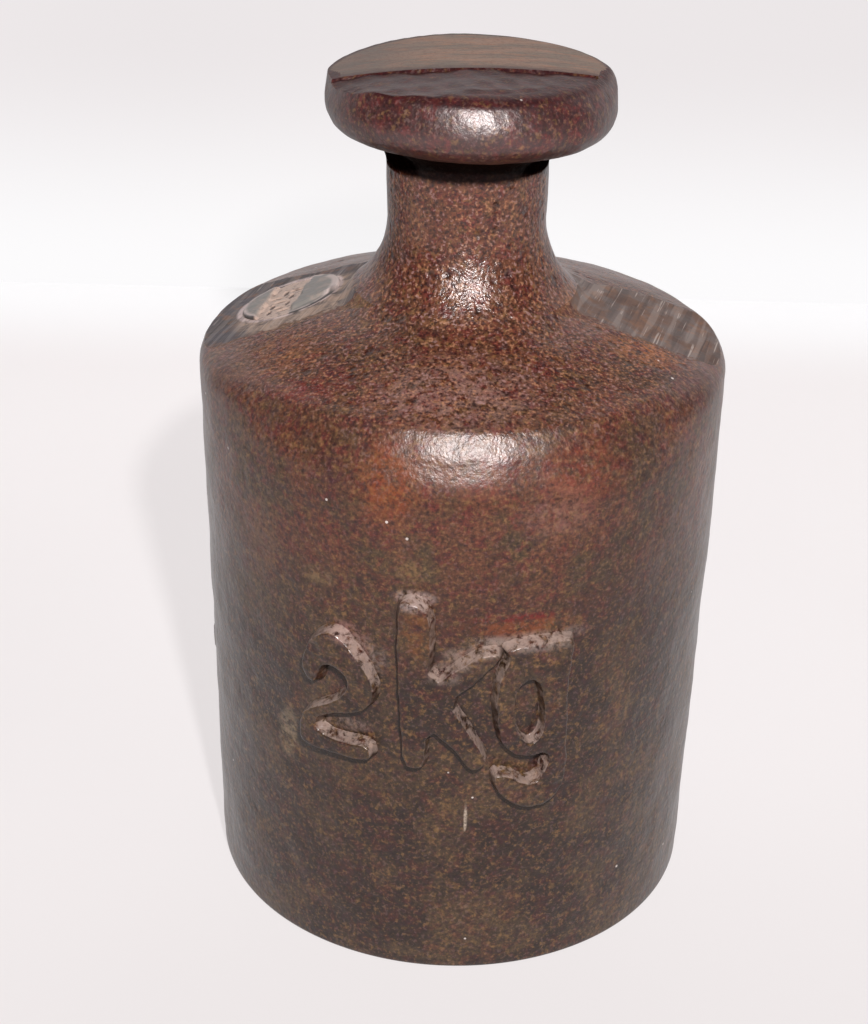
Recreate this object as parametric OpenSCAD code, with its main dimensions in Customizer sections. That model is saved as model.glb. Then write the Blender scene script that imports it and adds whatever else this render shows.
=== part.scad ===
// Two kilogram knob weight: an iron casting with an adjusting cavity drilled into one shoulder.
// Origin: centre of the resting face. +Z runs up the axis, -Y is the side with the raised denomination.

/* [Body] */
// Diameter across the resting face
base_d = 64.5; // [62:0.1:66]
// Diameter at the sharp rim, before it is rounded
rim_d = 66.6; // [66:0.1:70]
// Height of the sharp rim
rim_h = 74.9; // [66:0.1:80]
// Rounding of the lower edge
base_edge_r = 0.5; // [0.3:0.1:2]
// Rounding of the rim
rim_r = 3.0; // [1:0.1:4]
// Fall of the shoulder from the neck to the rim, in degrees
shoulder_slope = 19.5; // [16:0.5:23]

/* [Neck and knob] */
// Diameter of the neck
neck_d = 19.5; // [17:0.1:21]
// Height of the neck from the foot of its slope to the underside of the knob
neck_h = 17.56; // [16:0.02:20]
// Hollow radius where the neck runs out into the shoulder
neck_fillet_r = 12; // [9:0.5:13]
// Diameter of the knob
knob_d = 35.5; // [33:0.1:40]
// Height of the knob from its underside at the neck to its crown
knob_h = 9.1; // [8.7:0.1:13]
// Rise of the knob's underside from the neck to its edge, in degrees
knob_under_slope = 8; // [4:1:12]
// Hollow radius between the neck and the underside of the knob
throat_r = 2.8; // [1:0.1:3.2]
// Lower edge rounding of the knob
knob_lower_r = 4.4; // [3:0.1:4.6]
// Upper edge rounding of the knob behind the mould joint
knob_upper_r = 2.6; // [1.5:0.1:3]

/* [Ground faces] */
// Depth ground off the plain shoulder over the mould joint
plain_strip_depth = 0.5; // [0.2:0.05:0.8]
// Depth ground off the shoulder that carries the seal
seal_strip_depth = 0.75; // [0.3:0.05:0.9]
// Angle that the grinding for the seal lies behind the mould joint, in degrees
seal_turn = 9.5; // [0:0.5:14]
// Radius from the axis at which that grinding stops beside the neck
strip_inner_r = 14; // [12.5:0.1:15]
// Radius of the crown left by filing the top of the knob from side to side
crown_r = 110; // [80:1:200]
// Distance of the crown's highest line from the axis, away from the seal
crown_x = 3; // [0:0.5:5]
// Step down in front of the mould joint on top of the knob
knob_step = 0.5; // [0.3:0.1:1]
// Distance of that step in front of the axis
knob_step_y = 3.0; // [0:0.5:6]
// Fall of the cast top in front of the step, in degrees
front_slope = 4; // [2:0.5:6]
// Upper edge rounding of the knob in front of the step
front_edge_r = 4.4; // [3:0.1:5]

/* [Adjusting cavity] */
// Distance of the cavity's mouth from the axis of the weight
seal_r = 22.9; // [20.5:0.1:23.5]
// Distance of the mouth behind the middle of the ground face
seal_y = 1.2; // [0:0.1:2]
// Diameter of the mouth that the lead seal fills
mouth_d = 13.2; // [13:0.1:15]
// Depth of the lead seal under the ground face
mouth_depth = 5.2; // [4.5:0.1:7]
// Diameter of the undercut groove that keys the lead
groove_d = 15.4; // [15.1:0.1:17]
// Width of the undercut groove
groove_w = 1.4; // [1:0.1:2]
// Diameter of the seat that the closing disc rests on
disc_seat_d = 11.9; // [11.5:0.1:12.5]
// Bore of the cavity that holds the shot
cavity_d = 10.2; // [9:0.1:10.6]
// Depth of the cavity below the closing disc
cavity_depth = 38; // [34:0.5:44]
// Full angle of the drill point at the bottom of the cavity
drill_angle = 118; // [100:1:140]

/* [Closing disc] */
// Thickness of the closing disc
disc_t = 1.5; // [1:0.1:2.5]
// Diameter of the handling hole in the disc
disc_hole_d = 2.6; // [2:0.1:4]
// Bevel on the disc's upper edge
disc_bevel = 0.3; // [0.1:0.05:0.4]
// Clearance round the disc, on radius
disc_fit = 0.1; // [0.05:0.01:0.2]

/* [Lead seal] */
// Clearance of the driven lead from the wall, on radius
seal_fit = 0.02; // [0.01:0.01:0.05]
// Height that the lead stands proud of the ground face
seal_proud = 0.45; // [0.2:0.05:0.7]
// Width of the band struck across the seal
strike_w = 5.2; // [4:0.1:7]
// Depth of the struck band below the standing lead
strike_depth = 0.55; // [0.3:0.05:0.8]
// Distance of the band from the middle of the seal, downhill
strike_x = 1.1; // [-1.5:0.1:1.5]
// Rounding of the seal's upper edge
seal_edge_r = 0.35; // [0.1:0.05:0.4]

/* [Lead shot] */
// Layers of shot in the cavity
shot_layers = 5; // [2:1:7]
// Pellets in one layer
shots_per_layer = 4; // [3:1:5]
// Clearance between pellets, and between pellets and the wall
shot_fit = 0.02; // [0.01:0.01:0.05]

/* [Hidden] */
$fn = 96;
// Facets round one pellet, which is too small to need the full number
shot_facets = 24;
// Direction of the shoulder that carries the seal, in degrees about the axis
seal_side = 180 - seal_turn;
// Overrun of a cutting solid past the surface that it cuts
cut = 1;
// Widest step along a rounded corner, in degrees
arc_step = 7.5;
// Height of the solids that clear everything above a ground face
clear_h = 5;
// Reach of the front form past the side of the knob, so that the two cross at an angle
front_reach = 0.3;

rim_radius = rim_d / 2;
neck_radius = neck_d / 2;
knob_radius = knob_d / 2;

// The cone line meets the neck line at this height
neck_foot_h = rim_h + (rim_radius - neck_radius) * tan(shoulder_slope);
knob_under_h = neck_foot_h + neck_h;
total_h = knob_under_h + knob_h;
// The underside line meets the side of the knob at this height
knob_edge_h = knob_under_h + (knob_radius - neck_radius) * tan(knob_under_slope);
// The cast top in front of the joint, at the axis and at its edge
front_axis_h = total_h - knob_step + knob_step_y * tan(front_slope);
front_edge_radius = knob_radius + front_reach;
front_edge_h = front_axis_h - front_edge_radius * tan(front_slope);

// Half outline of the casting: radius, height and rounding of each corner, from the foot up
CASTING = [
    [0, 0, 0],
    [base_d / 2, 0, base_edge_r],
    [rim_radius, rim_h, rim_r],
    [neck_radius, neck_foot_h, neck_fillet_r],
    [neck_radius, knob_under_h, throat_r],
    [knob_radius, knob_edge_h, knob_lower_r],
    [knob_radius, total_h, knob_upper_r],
    [0, total_h, 0]
];
// Half outline of the lower cast form that stands in front of the mould joint on top of the knob
KNOB_FRONT = [
    [0, knob_under_h, 0],
    [front_edge_radius, knob_under_h, 0],
    [front_edge_radius, front_edge_h, front_edge_r],
    [0, front_axis_h, 0]
];

// Levels down the cavity's own axis, from the ground face
face_z = -seal_strip_depth;
disc_top_z = face_z - mouth_depth;
disc_bottom_z = disc_top_z - disc_t;
cavity_end_z = disc_bottom_z - cavity_depth;
drill_rise = 90 - drill_angle / 2;

// Pellets in a ring of one layer touch each other and the wall
ring_share = 1 / sin(180 / shots_per_layer);
shot_d = (cavity_d - 2 * shot_fit - shot_fit * ring_share) / (1 + ring_share);
ring_radius = (shot_d + shot_fit) / 2 * ring_share;
// Each layer is turned by half a pellet and sinks into the one below
layer_turn = 180 / shots_per_layer;
layer_gap = 2 * ring_radius * sin(layer_turn / 2);
layer_rise = sqrt(pow(shot_d + shot_fit, 2) - pow(layer_gap, 2));
// The first layer rests on the drill point
first_shot_z = cavity_end_z
    + (shot_d / 2 + shot_fit - (cavity_d / 2 - ring_radius) * sin(drill_rise)) / cos(drill_rise);
shot_count = shot_layers * shots_per_layer;

function two_digits(n) = n < 10 ? str("0", n) : str(n);
function shot_name(i) = str("lead_shot_", two_digits(i + 1));

// Outlines with rounded corners, each corner given as radius, height and rounding
function flat(p) = [p[0], p[1]];
function toward(a, b) = (b - a) / norm(b - a);
function turned(v, a) = [v[0] * cos(a) - v[1] * sin(a), v[0] * sin(a) + v[1] * cos(a)];
function corner(list, i) = flat(list[(i + len(list)) % len(list)]);
function before(list, i) = toward(corner(list, i), corner(list, i - 1));
function after(list, i) = toward(corner(list, i), corner(list, i + 1));
function half_angle(list, i) = acos(before(list, i) * after(list, i)) / 2;
function bisector(list, i) = toward([0, 0], before(list, i) + after(list, i));
function turns_left(list, i) = cross(after(list, i), before(list, i)) > 0;
function turn_of(list, i) = (turns_left(list, i) ? 2 : -2) * (90 - half_angle(list, i));

// Points along the arc that rounds one corner, tangent to both of its edges
function arc_points(list, i) =
    let (
        radius = list[i][2],
        start = corner(list, i) + before(list, i) * radius / tan(half_angle(list, i)),
        centre = corner(list, i) + bisector(list, i) * radius / sin(half_angle(list, i)),
        steps = ceil(abs(turn_of(list, i)) / arc_step)
    )
    [for (k = [0:steps]) centre + turned(start - centre, turn_of(list, i) * k / steps)];

// Closed outline, given anticlockwise
module rounded_outline(list) {
    polygon([
        for (i = [0:len(list) - 1])
            for (p = list[i][2] > 0 ? arc_points(list, i) : [corner(list, i)]) p
    ]);
}

// Places children on the shoulder, on the side that turn gives: +X runs downhill and +Z stands off it
module on_shoulder(radius, turn) {
    height = rim_h + (rim_radius - radius) * tan(shoulder_slope);
    rotate([0, 0, turn]) translate([radius, 0, height]) rotate([0, shoulder_slope, 0]) children();
}

// Places children at the mouth of the adjusting cavity
module at_seal() {
    on_shoulder(seal_r, seal_side) translate([0, -seal_y, 0]) children();
}

// Flat ground across the mould joint, from beside the neck out over the rim
module shoulder_grinding(turn, depth) {
    difference() {
        on_shoulder(rim_radius, turn)
            translate([-rim_radius, -rim_radius, -depth])
            cube([rim_radius + rim_r, rim_d, clear_h]);
        cylinder(h = total_h, r = strip_inner_r);
    }
}

// Everything above the crown that filing from side to side left on the knob
module knob_filing() {
    difference() {
        translate([-knob_d, -knob_d, total_h - clear_h]) cube([2 * knob_d, 2 * knob_d, 2 * clear_h]);
        translate([crown_x, 0, total_h - crown_r]) rotate([90, 0, 0])
            cylinder(h = 4 * knob_d, r = crown_r, center = true);
    }
}

// Everything above the lower cast form in front of the mould joint
module knob_front_drop() {
    low_h = front_edge_h - front_edge_r;
    difference() {
        translate([-knob_d, -knob_d - knob_step_y, low_h]) cube([2 * knob_d, knob_d, total_h + cut - low_h]);
        rotate_extrude() rounded_outline(KNOB_FRONT);
    }
}

// Mouth, key groove, disc seat and shot cavity, drilled square to the ground face
module adjusting_bore() {
    groove_z = face_z - (mouth_depth + groove_w) / 2;
    at_seal() {
        translate([0, 0, disc_top_z]) cylinder(h = mouth_depth - face_z + cut, d = mouth_d);
        translate([0, 0, groove_z]) cylinder(h = groove_w, d = groove_d);
        translate([0, 0, disc_bottom_z]) cylinder(h = disc_t + cut, d = disc_seat_d);
        translate([0, 0, cavity_end_z]) cylinder(h = cavity_depth + cut, d = cavity_d);
        translate([0, 0, cavity_end_z - cavity_d / 2 * tan(drill_rise)])
            cylinder(h = cavity_d / 2 * tan(drill_rise), d1 = 0, d2 = cavity_d);
    }
}

// Body, shoulder, neck and knob as cast in one piece, then ground and filed
module fettled_casting() {
    difference() {
        rotate_extrude() rounded_outline(CASTING);
        shoulder_grinding(0, plain_strip_depth);
        shoulder_grinding(seal_side, seal_strip_depth);
        knob_filing();
        knob_front_drop();
    }
}

// The fettled casting with its adjusting cavity drilled
module iron_casting() {
    color("#3f2b27") difference() {
        fettled_casting();
        adjusting_bore();
    }
}

// Disc that keeps the shot in, with a hole to handle it by
module closing_disc() {
    radius = disc_seat_d / 2 - disc_fit;
    color("#8a7443") at_seal() translate([0, 0, disc_bottom_z]) rotate_extrude() polygon([
        [disc_hole_d / 2, 0],
        [radius, 0],
        [radius, disc_t - disc_bevel],
        [radius - disc_bevel, disc_t],
        [disc_hole_d / 2, disc_t]
    ]);
}

// Lead driven into the mouth and its groove, with a band struck across its face
module lead_seal_plug() {
    radius = mouth_d / 2 - seal_fit;
    key_radius = groove_d / 2 - seal_fit;
    key_low = (mouth_depth - groove_w) / 2 + seal_fit;
    key_high = (mouth_depth + groove_w) / 2 - seal_fit;
    seal_h = mouth_depth + seal_proud;
    outline = [
        [0, 0, 0],
        [radius, 0, 0],
        [radius, key_low, 0],
        [key_radius, key_low, 0],
        [key_radius, key_high, 0],
        [radius, key_high, 0],
        [radius, seal_h, seal_edge_r],
        [0, seal_h, 0]
    ];
    color("#8f8c8a") at_seal() translate([0, 0, disc_top_z]) difference() {
        rotate_extrude() rounded_outline(outline);
        translate([strike_x - strike_w / 2, -mouth_d, seal_h - strike_depth])
            cube([strike_w, 2 * mouth_d, strike_depth + cut]);
    }
}

// One pellet, numbered upwards from the bottom of the cavity
module lead_shot(i) {
    layer = floor(i / shots_per_layer);
    turn = (i % shots_per_layer) * 360 / shots_per_layer + layer * layer_turn;
    color("#6f7276") at_seal()
        translate([ring_radius * cos(turn), ring_radius * sin(turn), first_shot_z + layer * layer_rise])
        sphere(d = shot_d, $fn = shot_facets);
}

iron_casting();
closing_disc();
lead_seal_plug();
for (i = [0:shot_count - 1]) lead_shot(i);
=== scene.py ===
"""Looks of the two kilogram knob weight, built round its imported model.

The iron casting is shaped again with the waves of its mould, its raised denomination is added,
the lead seal gets its struck face, and every surface gets a worked finish.
"""

import logging
import math
from collections.abc import Callable, Sequence
from dataclasses import dataclass, field
from enum import Enum

import bmesh
import bpy
import numpy as np
from mathutils import Matrix, Vector


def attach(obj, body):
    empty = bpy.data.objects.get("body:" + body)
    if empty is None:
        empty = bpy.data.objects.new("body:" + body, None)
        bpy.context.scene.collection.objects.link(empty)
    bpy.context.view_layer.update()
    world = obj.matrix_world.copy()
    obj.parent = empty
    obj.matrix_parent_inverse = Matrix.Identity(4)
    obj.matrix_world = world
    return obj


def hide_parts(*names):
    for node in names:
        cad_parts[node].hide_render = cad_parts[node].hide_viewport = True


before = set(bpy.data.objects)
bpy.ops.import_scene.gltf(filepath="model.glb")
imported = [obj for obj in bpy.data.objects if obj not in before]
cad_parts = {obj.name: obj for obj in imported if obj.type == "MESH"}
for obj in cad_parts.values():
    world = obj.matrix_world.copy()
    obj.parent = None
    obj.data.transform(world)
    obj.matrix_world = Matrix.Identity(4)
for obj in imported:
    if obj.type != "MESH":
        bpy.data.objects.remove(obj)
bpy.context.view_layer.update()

LOG = logging.getLogger("knob_weight")
MM = 0.001

# Middle of the seal's face and heading of its ground shoulder, in millimetres and degrees
SEAL_CENTRE = (-22.4, 5.0, 77.9)
SEAL_HEADING = 170.5


class Side(Enum):
    """The two shoulders that were ground, as the sign of X that each lies on."""

    SEAL = -1
    PLAIN = 1


def paint(red: int, green: int, blue: int) -> tuple[float, float, float, float]:
    """Turns a display colour into the linear one that a shader takes.

    Args:
        red: Red from 0 to 255.
        green: Green from 0 to 255.
        blue: Blue from 0 to 255.

    Returns:
        The linear colour with full alpha.
    """
    tones = []
    for value in (red, green, blue):
        share = value / 255
        tones.append(share / 12.92 if share <= 0.04045 else ((share + 0.055) / 1.055) ** 2.4)
    return (tones[0], tones[1], tones[2], 1.0)


def metres(*sizes: float) -> Vector:
    """Turns a place in millimetres into one in metres."""
    return Vector(sizes) * MM


def slope_normal(slope: float, heading: float) -> tuple[float, float, float]:
    """The direction that stands off a slope.

    Args:
        slope: How steep the slope is, in degrees.
        heading: Direction in which it falls, in radians about Z.

    Returns:
        A vector of length 1.
    """
    tilt = math.radians(slope)
    return (math.sin(tilt) * math.cos(heading), math.sin(tilt) * math.sin(heading), math.cos(tilt))


def ease(share: np.ndarray) -> np.ndarray:
    """Turns shares from 0 to 1 into ones that start and end gently."""
    return share * share * (3 - 2 * share)


def tilted(places: np.ndarray, column: int, angle: np.ndarray, pivot: float) -> np.ndarray:
    """Turns places about a level axis.

    Args:
        places: Places as rows.
        column: The column that turns towards Z.
        angle: The turn of each place, in radians.
        pivot: Height of the axis.

    Returns:
        The turned places.
    """
    level, rise = places[:, column].copy(), places[:, 2] - pivot
    moved = places.copy()
    moved[:, column] = level * np.cos(angle) + rise * np.sin(angle)
    moved[:, 2] = -level * np.sin(angle) + rise * np.cos(angle) + pivot
    return moved


# Shader wiring


class Signal:
    """A node's output, which takes plain arithmetic."""

    def __init__(self, sheet: "Sheet", socket: bpy.types.NodeSocket) -> None:
        """Keeps the output and the sheet that it is on.

        Args:
            sheet: The sheet.
            socket: The output's socket.
        """
        self.sheet = sheet
        self.socket = socket

    def __add__(self, other: object) -> "Signal":
        """The sum of this and a number or output."""
        return self.sheet.math("ADD", self, other)

    def __sub__(self, other: object) -> "Signal":
        """This less a number or output."""
        return self.sheet.math("SUBTRACT", self, other)

    def __rsub__(self, other: object) -> "Signal":
        """A number less this."""
        return self.sheet.math("SUBTRACT", other, self)

    def __mul__(self, other: object) -> "Signal":
        """The product of this and a number or output."""
        return self.sheet.math("MULTIPLY", self, other)

    def __truediv__(self, other: object) -> "Signal":
        """This divided by a number or output."""
        return self.sheet.math("DIVIDE", self, other)


class Sheet:
    """One node tree, with short methods for the nodes that the finishes use."""

    def __init__(self, tree: bpy.types.NodeTree) -> None:
        """Keeps the tree.

        Args:
            tree: The node tree of a material or of a shader group.
        """
        self.tree = tree

    def node(self, kind: str, **settings: object) -> bpy.types.Node:
        """Adds one node.

        Args:
            kind: The node's type name.
            settings: Properties to set on it.

        Returns:
            The new node.
        """
        made = self.tree.nodes.new(kind)
        for name, value in settings.items():
            setattr(made, name, value)
        return made

    def feed(self, target: bpy.types.NodeSocket, value: object) -> None:
        """Links an output into target, or writes a plain value on it.

        Args:
            target: The node's input.
            value: The output or the plain value.
        """
        if isinstance(value, Signal):
            value = value.socket
        if isinstance(value, bpy.types.NodeSocket):
            self.tree.links.new(value, target)
        else:
            target.default_value = value

    def math(self, operation: str, first: object, second: object = 0.0, clamp: bool = False) -> Signal:
        """One step of arithmetic.

        Args:
            operation: The Math node's operation.
            first: The first value or output.
            second: The second value or output.
            clamp: Whether the result is held between 0 and 1.

        Returns:
            The result.
        """
        made = self.node("ShaderNodeMath", operation=operation, use_clamp=clamp)
        self.feed(made.inputs[0], first)
        self.feed(made.inputs[1], second)
        return Signal(self, made.outputs[0])

    def step(self, value: object, low: float, high: float) -> Signal:
        """A smooth mask.

        Args:
            value: The value or output to read.
            low: Where the mask is 0.
            high: Where the mask is 1, which may be below low.

        Returns:
            The mask.
        """
        made = self.node("ShaderNodeMapRange", interpolation_type="SMOOTHSTEP")
        self.feed(made.inputs["Value"], value)
        flip = high < low
        made.inputs["From Min"].default_value = high if flip else low
        made.inputs["From Max"].default_value = low if flip else high
        made.inputs["To Min"].default_value = 1.0 if flip else 0.0
        made.inputs["To Max"].default_value = 0.0 if flip else 1.0
        return Signal(self, made.outputs["Result"])

    def blend(self, share: object, first: object, second: object, kind: str = "MIX") -> Signal:
        """Mixes two colours.

        Args:
            share: How much of the second shows.
            first: The first colour or output.
            second: The second colour or output.
            kind: The Mix node's blend type.

        Returns:
            The mixed colour.
        """
        made = self.node("ShaderNodeMix", data_type="RGBA", blend_type=kind)
        self.feed(made.inputs[0], share)
        self.feed(made.inputs[6], first)
        self.feed(made.inputs[7], second)
        return Signal(self, made.outputs[2])

    def place(self, vector: object, scale: Sequence[float], turn: Sequence[float] = (0, 0, 0),
              move: Sequence[float] = (0, 0, 0)) -> Signal:
        """Moves, turns and scales a vector.

        Args:
            vector: The vector.
            scale: Scale along each axis.
            turn: Turn about each axis, in degrees.
            move: Move along each axis, after the scale.

        Returns:
            The new vector.
        """
        made = self.node("ShaderNodeMapping")
        self.feed(made.inputs["Vector"], vector)
        made.inputs["Scale"].default_value = scale
        made.inputs["Rotation"].default_value = [math.radians(a) for a in turn]
        made.inputs["Location"].default_value = move
        return Signal(self, made.outputs["Vector"])

    def shift(self, vector: object, move: Sequence[float]) -> Signal:
        """Moves a vector."""
        return self.place(vector, (1, 1, 1), move=move)

    def turn(self, vector: object, degrees: float) -> Signal:
        """Turns a vector about Z."""
        return self.place(vector, (1, 1, 1), turn=(0, 0, degrees))

    def noise(self, vector: object, scale: object, detail: float = 2.0, rough: float = 0.5,
              warp: float = 0.0) -> Signal:
        """Cloudy noise from 0 to 1.

        Args:
            vector: The vector, in millimetres.
            scale: Features in a millimetre.
            detail: Octaves added to the first.
            rough: Share that each octave keeps.
            warp: How far the noise bends itself.

        Returns:
            The noise value.
        """
        made = self.node("ShaderNodeTexNoise")
        self.feed(made.inputs["Vector"], vector)
        self.feed(made.inputs["Scale"], scale)
        made.inputs["Detail"].default_value = detail
        made.inputs["Roughness"].default_value = rough
        made.inputs["Distortion"].default_value = warp
        return Signal(self, made.outputs[0])

    def cells(self, vector: object, scale: object) -> tuple[Signal, Signal]:
        """Scattered cells.

        Args:
            vector: The vector, in millimetres.
            scale: Cells in a millimetre.

        Returns:
            The distance to the nearest cell's centre, and a colour that differs by cell.
        """
        made = self.node("ShaderNodeTexVoronoi")
        self.feed(made.inputs["Vector"], vector)
        self.feed(made.inputs["Scale"], scale)
        return Signal(self, made.outputs["Distance"]), Signal(self, made.outputs["Color"])

    def object_mm(self) -> Signal:
        """The place on the object, in millimetres."""
        coordinates = self.node("ShaderNodeTexCoord")
        return self.place(coordinates.outputs["Object"], (1000, 1000, 1000))

    def split(self, vector: object) -> tuple[Signal, Signal, Signal]:
        """The X, Y and Z of a vector.

        Args:
            vector: The vector.

        Returns:
            Its three parts.
        """
        made = self.node("ShaderNodeSeparateXYZ")
        self.feed(made.inputs[0], vector)
        return tuple(Signal(self, socket) for socket in made.outputs)

    def distance(self, vector: object) -> Signal:
        """How far a place is from the axis.

        Args:
            vector: The place.

        Returns:
            The distance.
        """
        flat = self.node("ShaderNodeVectorMath", operation="MULTIPLY")
        self.feed(flat.inputs[0], vector)
        flat.inputs[1].default_value = (1, 1, 0)
        length = self.node("ShaderNodeVectorMath", operation="LENGTH")
        self.feed(length.inputs[0], flat.outputs[0])
        return Signal(self, length.outputs["Value"])

    def spread_from(self, vector: object, centre: Sequence[float]) -> Signal:
        """How far a place is from a centre.

        Args:
            vector: The place.
            centre: The centre.

        Returns:
            The distance.
        """
        gap = self.node("ShaderNodeVectorMath", operation="DISTANCE")
        self.feed(gap.inputs[0], vector)
        gap.inputs[1].default_value = centre
        return Signal(self, gap.outputs["Value"])

    def spot(self, vector: object, centre: Sequence[float], reach: Sequence[float],
             soft: float = 0.6) -> Signal:
        """A soft ellipsoid mask.

        Args:
            vector: The vector, in millimetres.
            centre: The ellipsoid's centre.
            reach: Its half sizes.
            soft: Share of the reach over which it fades.

        Returns:
            The mask, 1 inside.
        """
        inverse = [1 / r for r in reach]
        moved = self.place(vector, inverse, move=[-c * i for c, i in zip(centre, inverse)])
        length = self.node("ShaderNodeVectorMath", operation="LENGTH")
        self.feed(length.inputs[0], moved)
        return self.step(length.outputs["Value"], 1 + soft / 2, 1 - soft / 2)

    def bump(self, height: object, depth: float = MM, strength: float = 1.0,
             under: object = None) -> Signal:
        """Turns a height in millimetres into a normal.

        Args:
            height: The height.
            depth: Metres for a height of 1.
            strength: Share of the effect.
            under: A normal to build on, if any.

        Returns:
            The normal.
        """
        made = self.node("ShaderNodeBump")
        made.inputs["Strength"].default_value = strength
        made.inputs["Distance"].default_value = depth
        self.feed(made.inputs["Height"], height)
        if under is not None:
            self.feed(made.inputs["Normal"], under)
        return Signal(self, made.outputs[0])

    def use(self, group: bpy.types.NodeTree, **values: object) -> dict[str, Signal]:
        """Places a shader group.

        Args:
            group: The group's tree.
            values: Its inputs by name.

        Returns:
            Its outputs by name.
        """
        made = self.node("ShaderNodeGroup", node_tree=group)
        for name, value in values.items():
            self.feed(made.inputs[name], value)
        return {socket.name: Signal(self, socket) for socket in made.outputs}


def open_group(name: str, inputs: dict[str, tuple[str, object]], outputs: dict[str, str]
               ) -> tuple[Sheet, bpy.types.Node, bpy.types.Node]:
    """Starts a shader group with named sockets.

    Args:
        name: The group's name.
        inputs: Socket kind and first value of each input.
        outputs: Socket kind of each output.

    Returns:
        The group's sheet, its input node and its output node.
    """
    tree = bpy.data.node_groups.new(name, "ShaderNodeTree")
    kinds = {"value": "NodeSocketFloat", "vector": "NodeSocketVector", "colour": "NodeSocketColor"}
    for label, (kind, value) in inputs.items():
        made = tree.interface.new_socket(name=label, in_out="INPUT", socket_type=kinds[kind])
        if value is not None:
            made.default_value = value
    for label, kind in outputs.items():
        tree.interface.new_socket(name=label, in_out="OUTPUT", socket_type=kinds[kind])
    sheet = Sheet(tree)
    return sheet, sheet.node("NodeGroupInput"), sheet.node("NodeGroupOutput")


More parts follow.
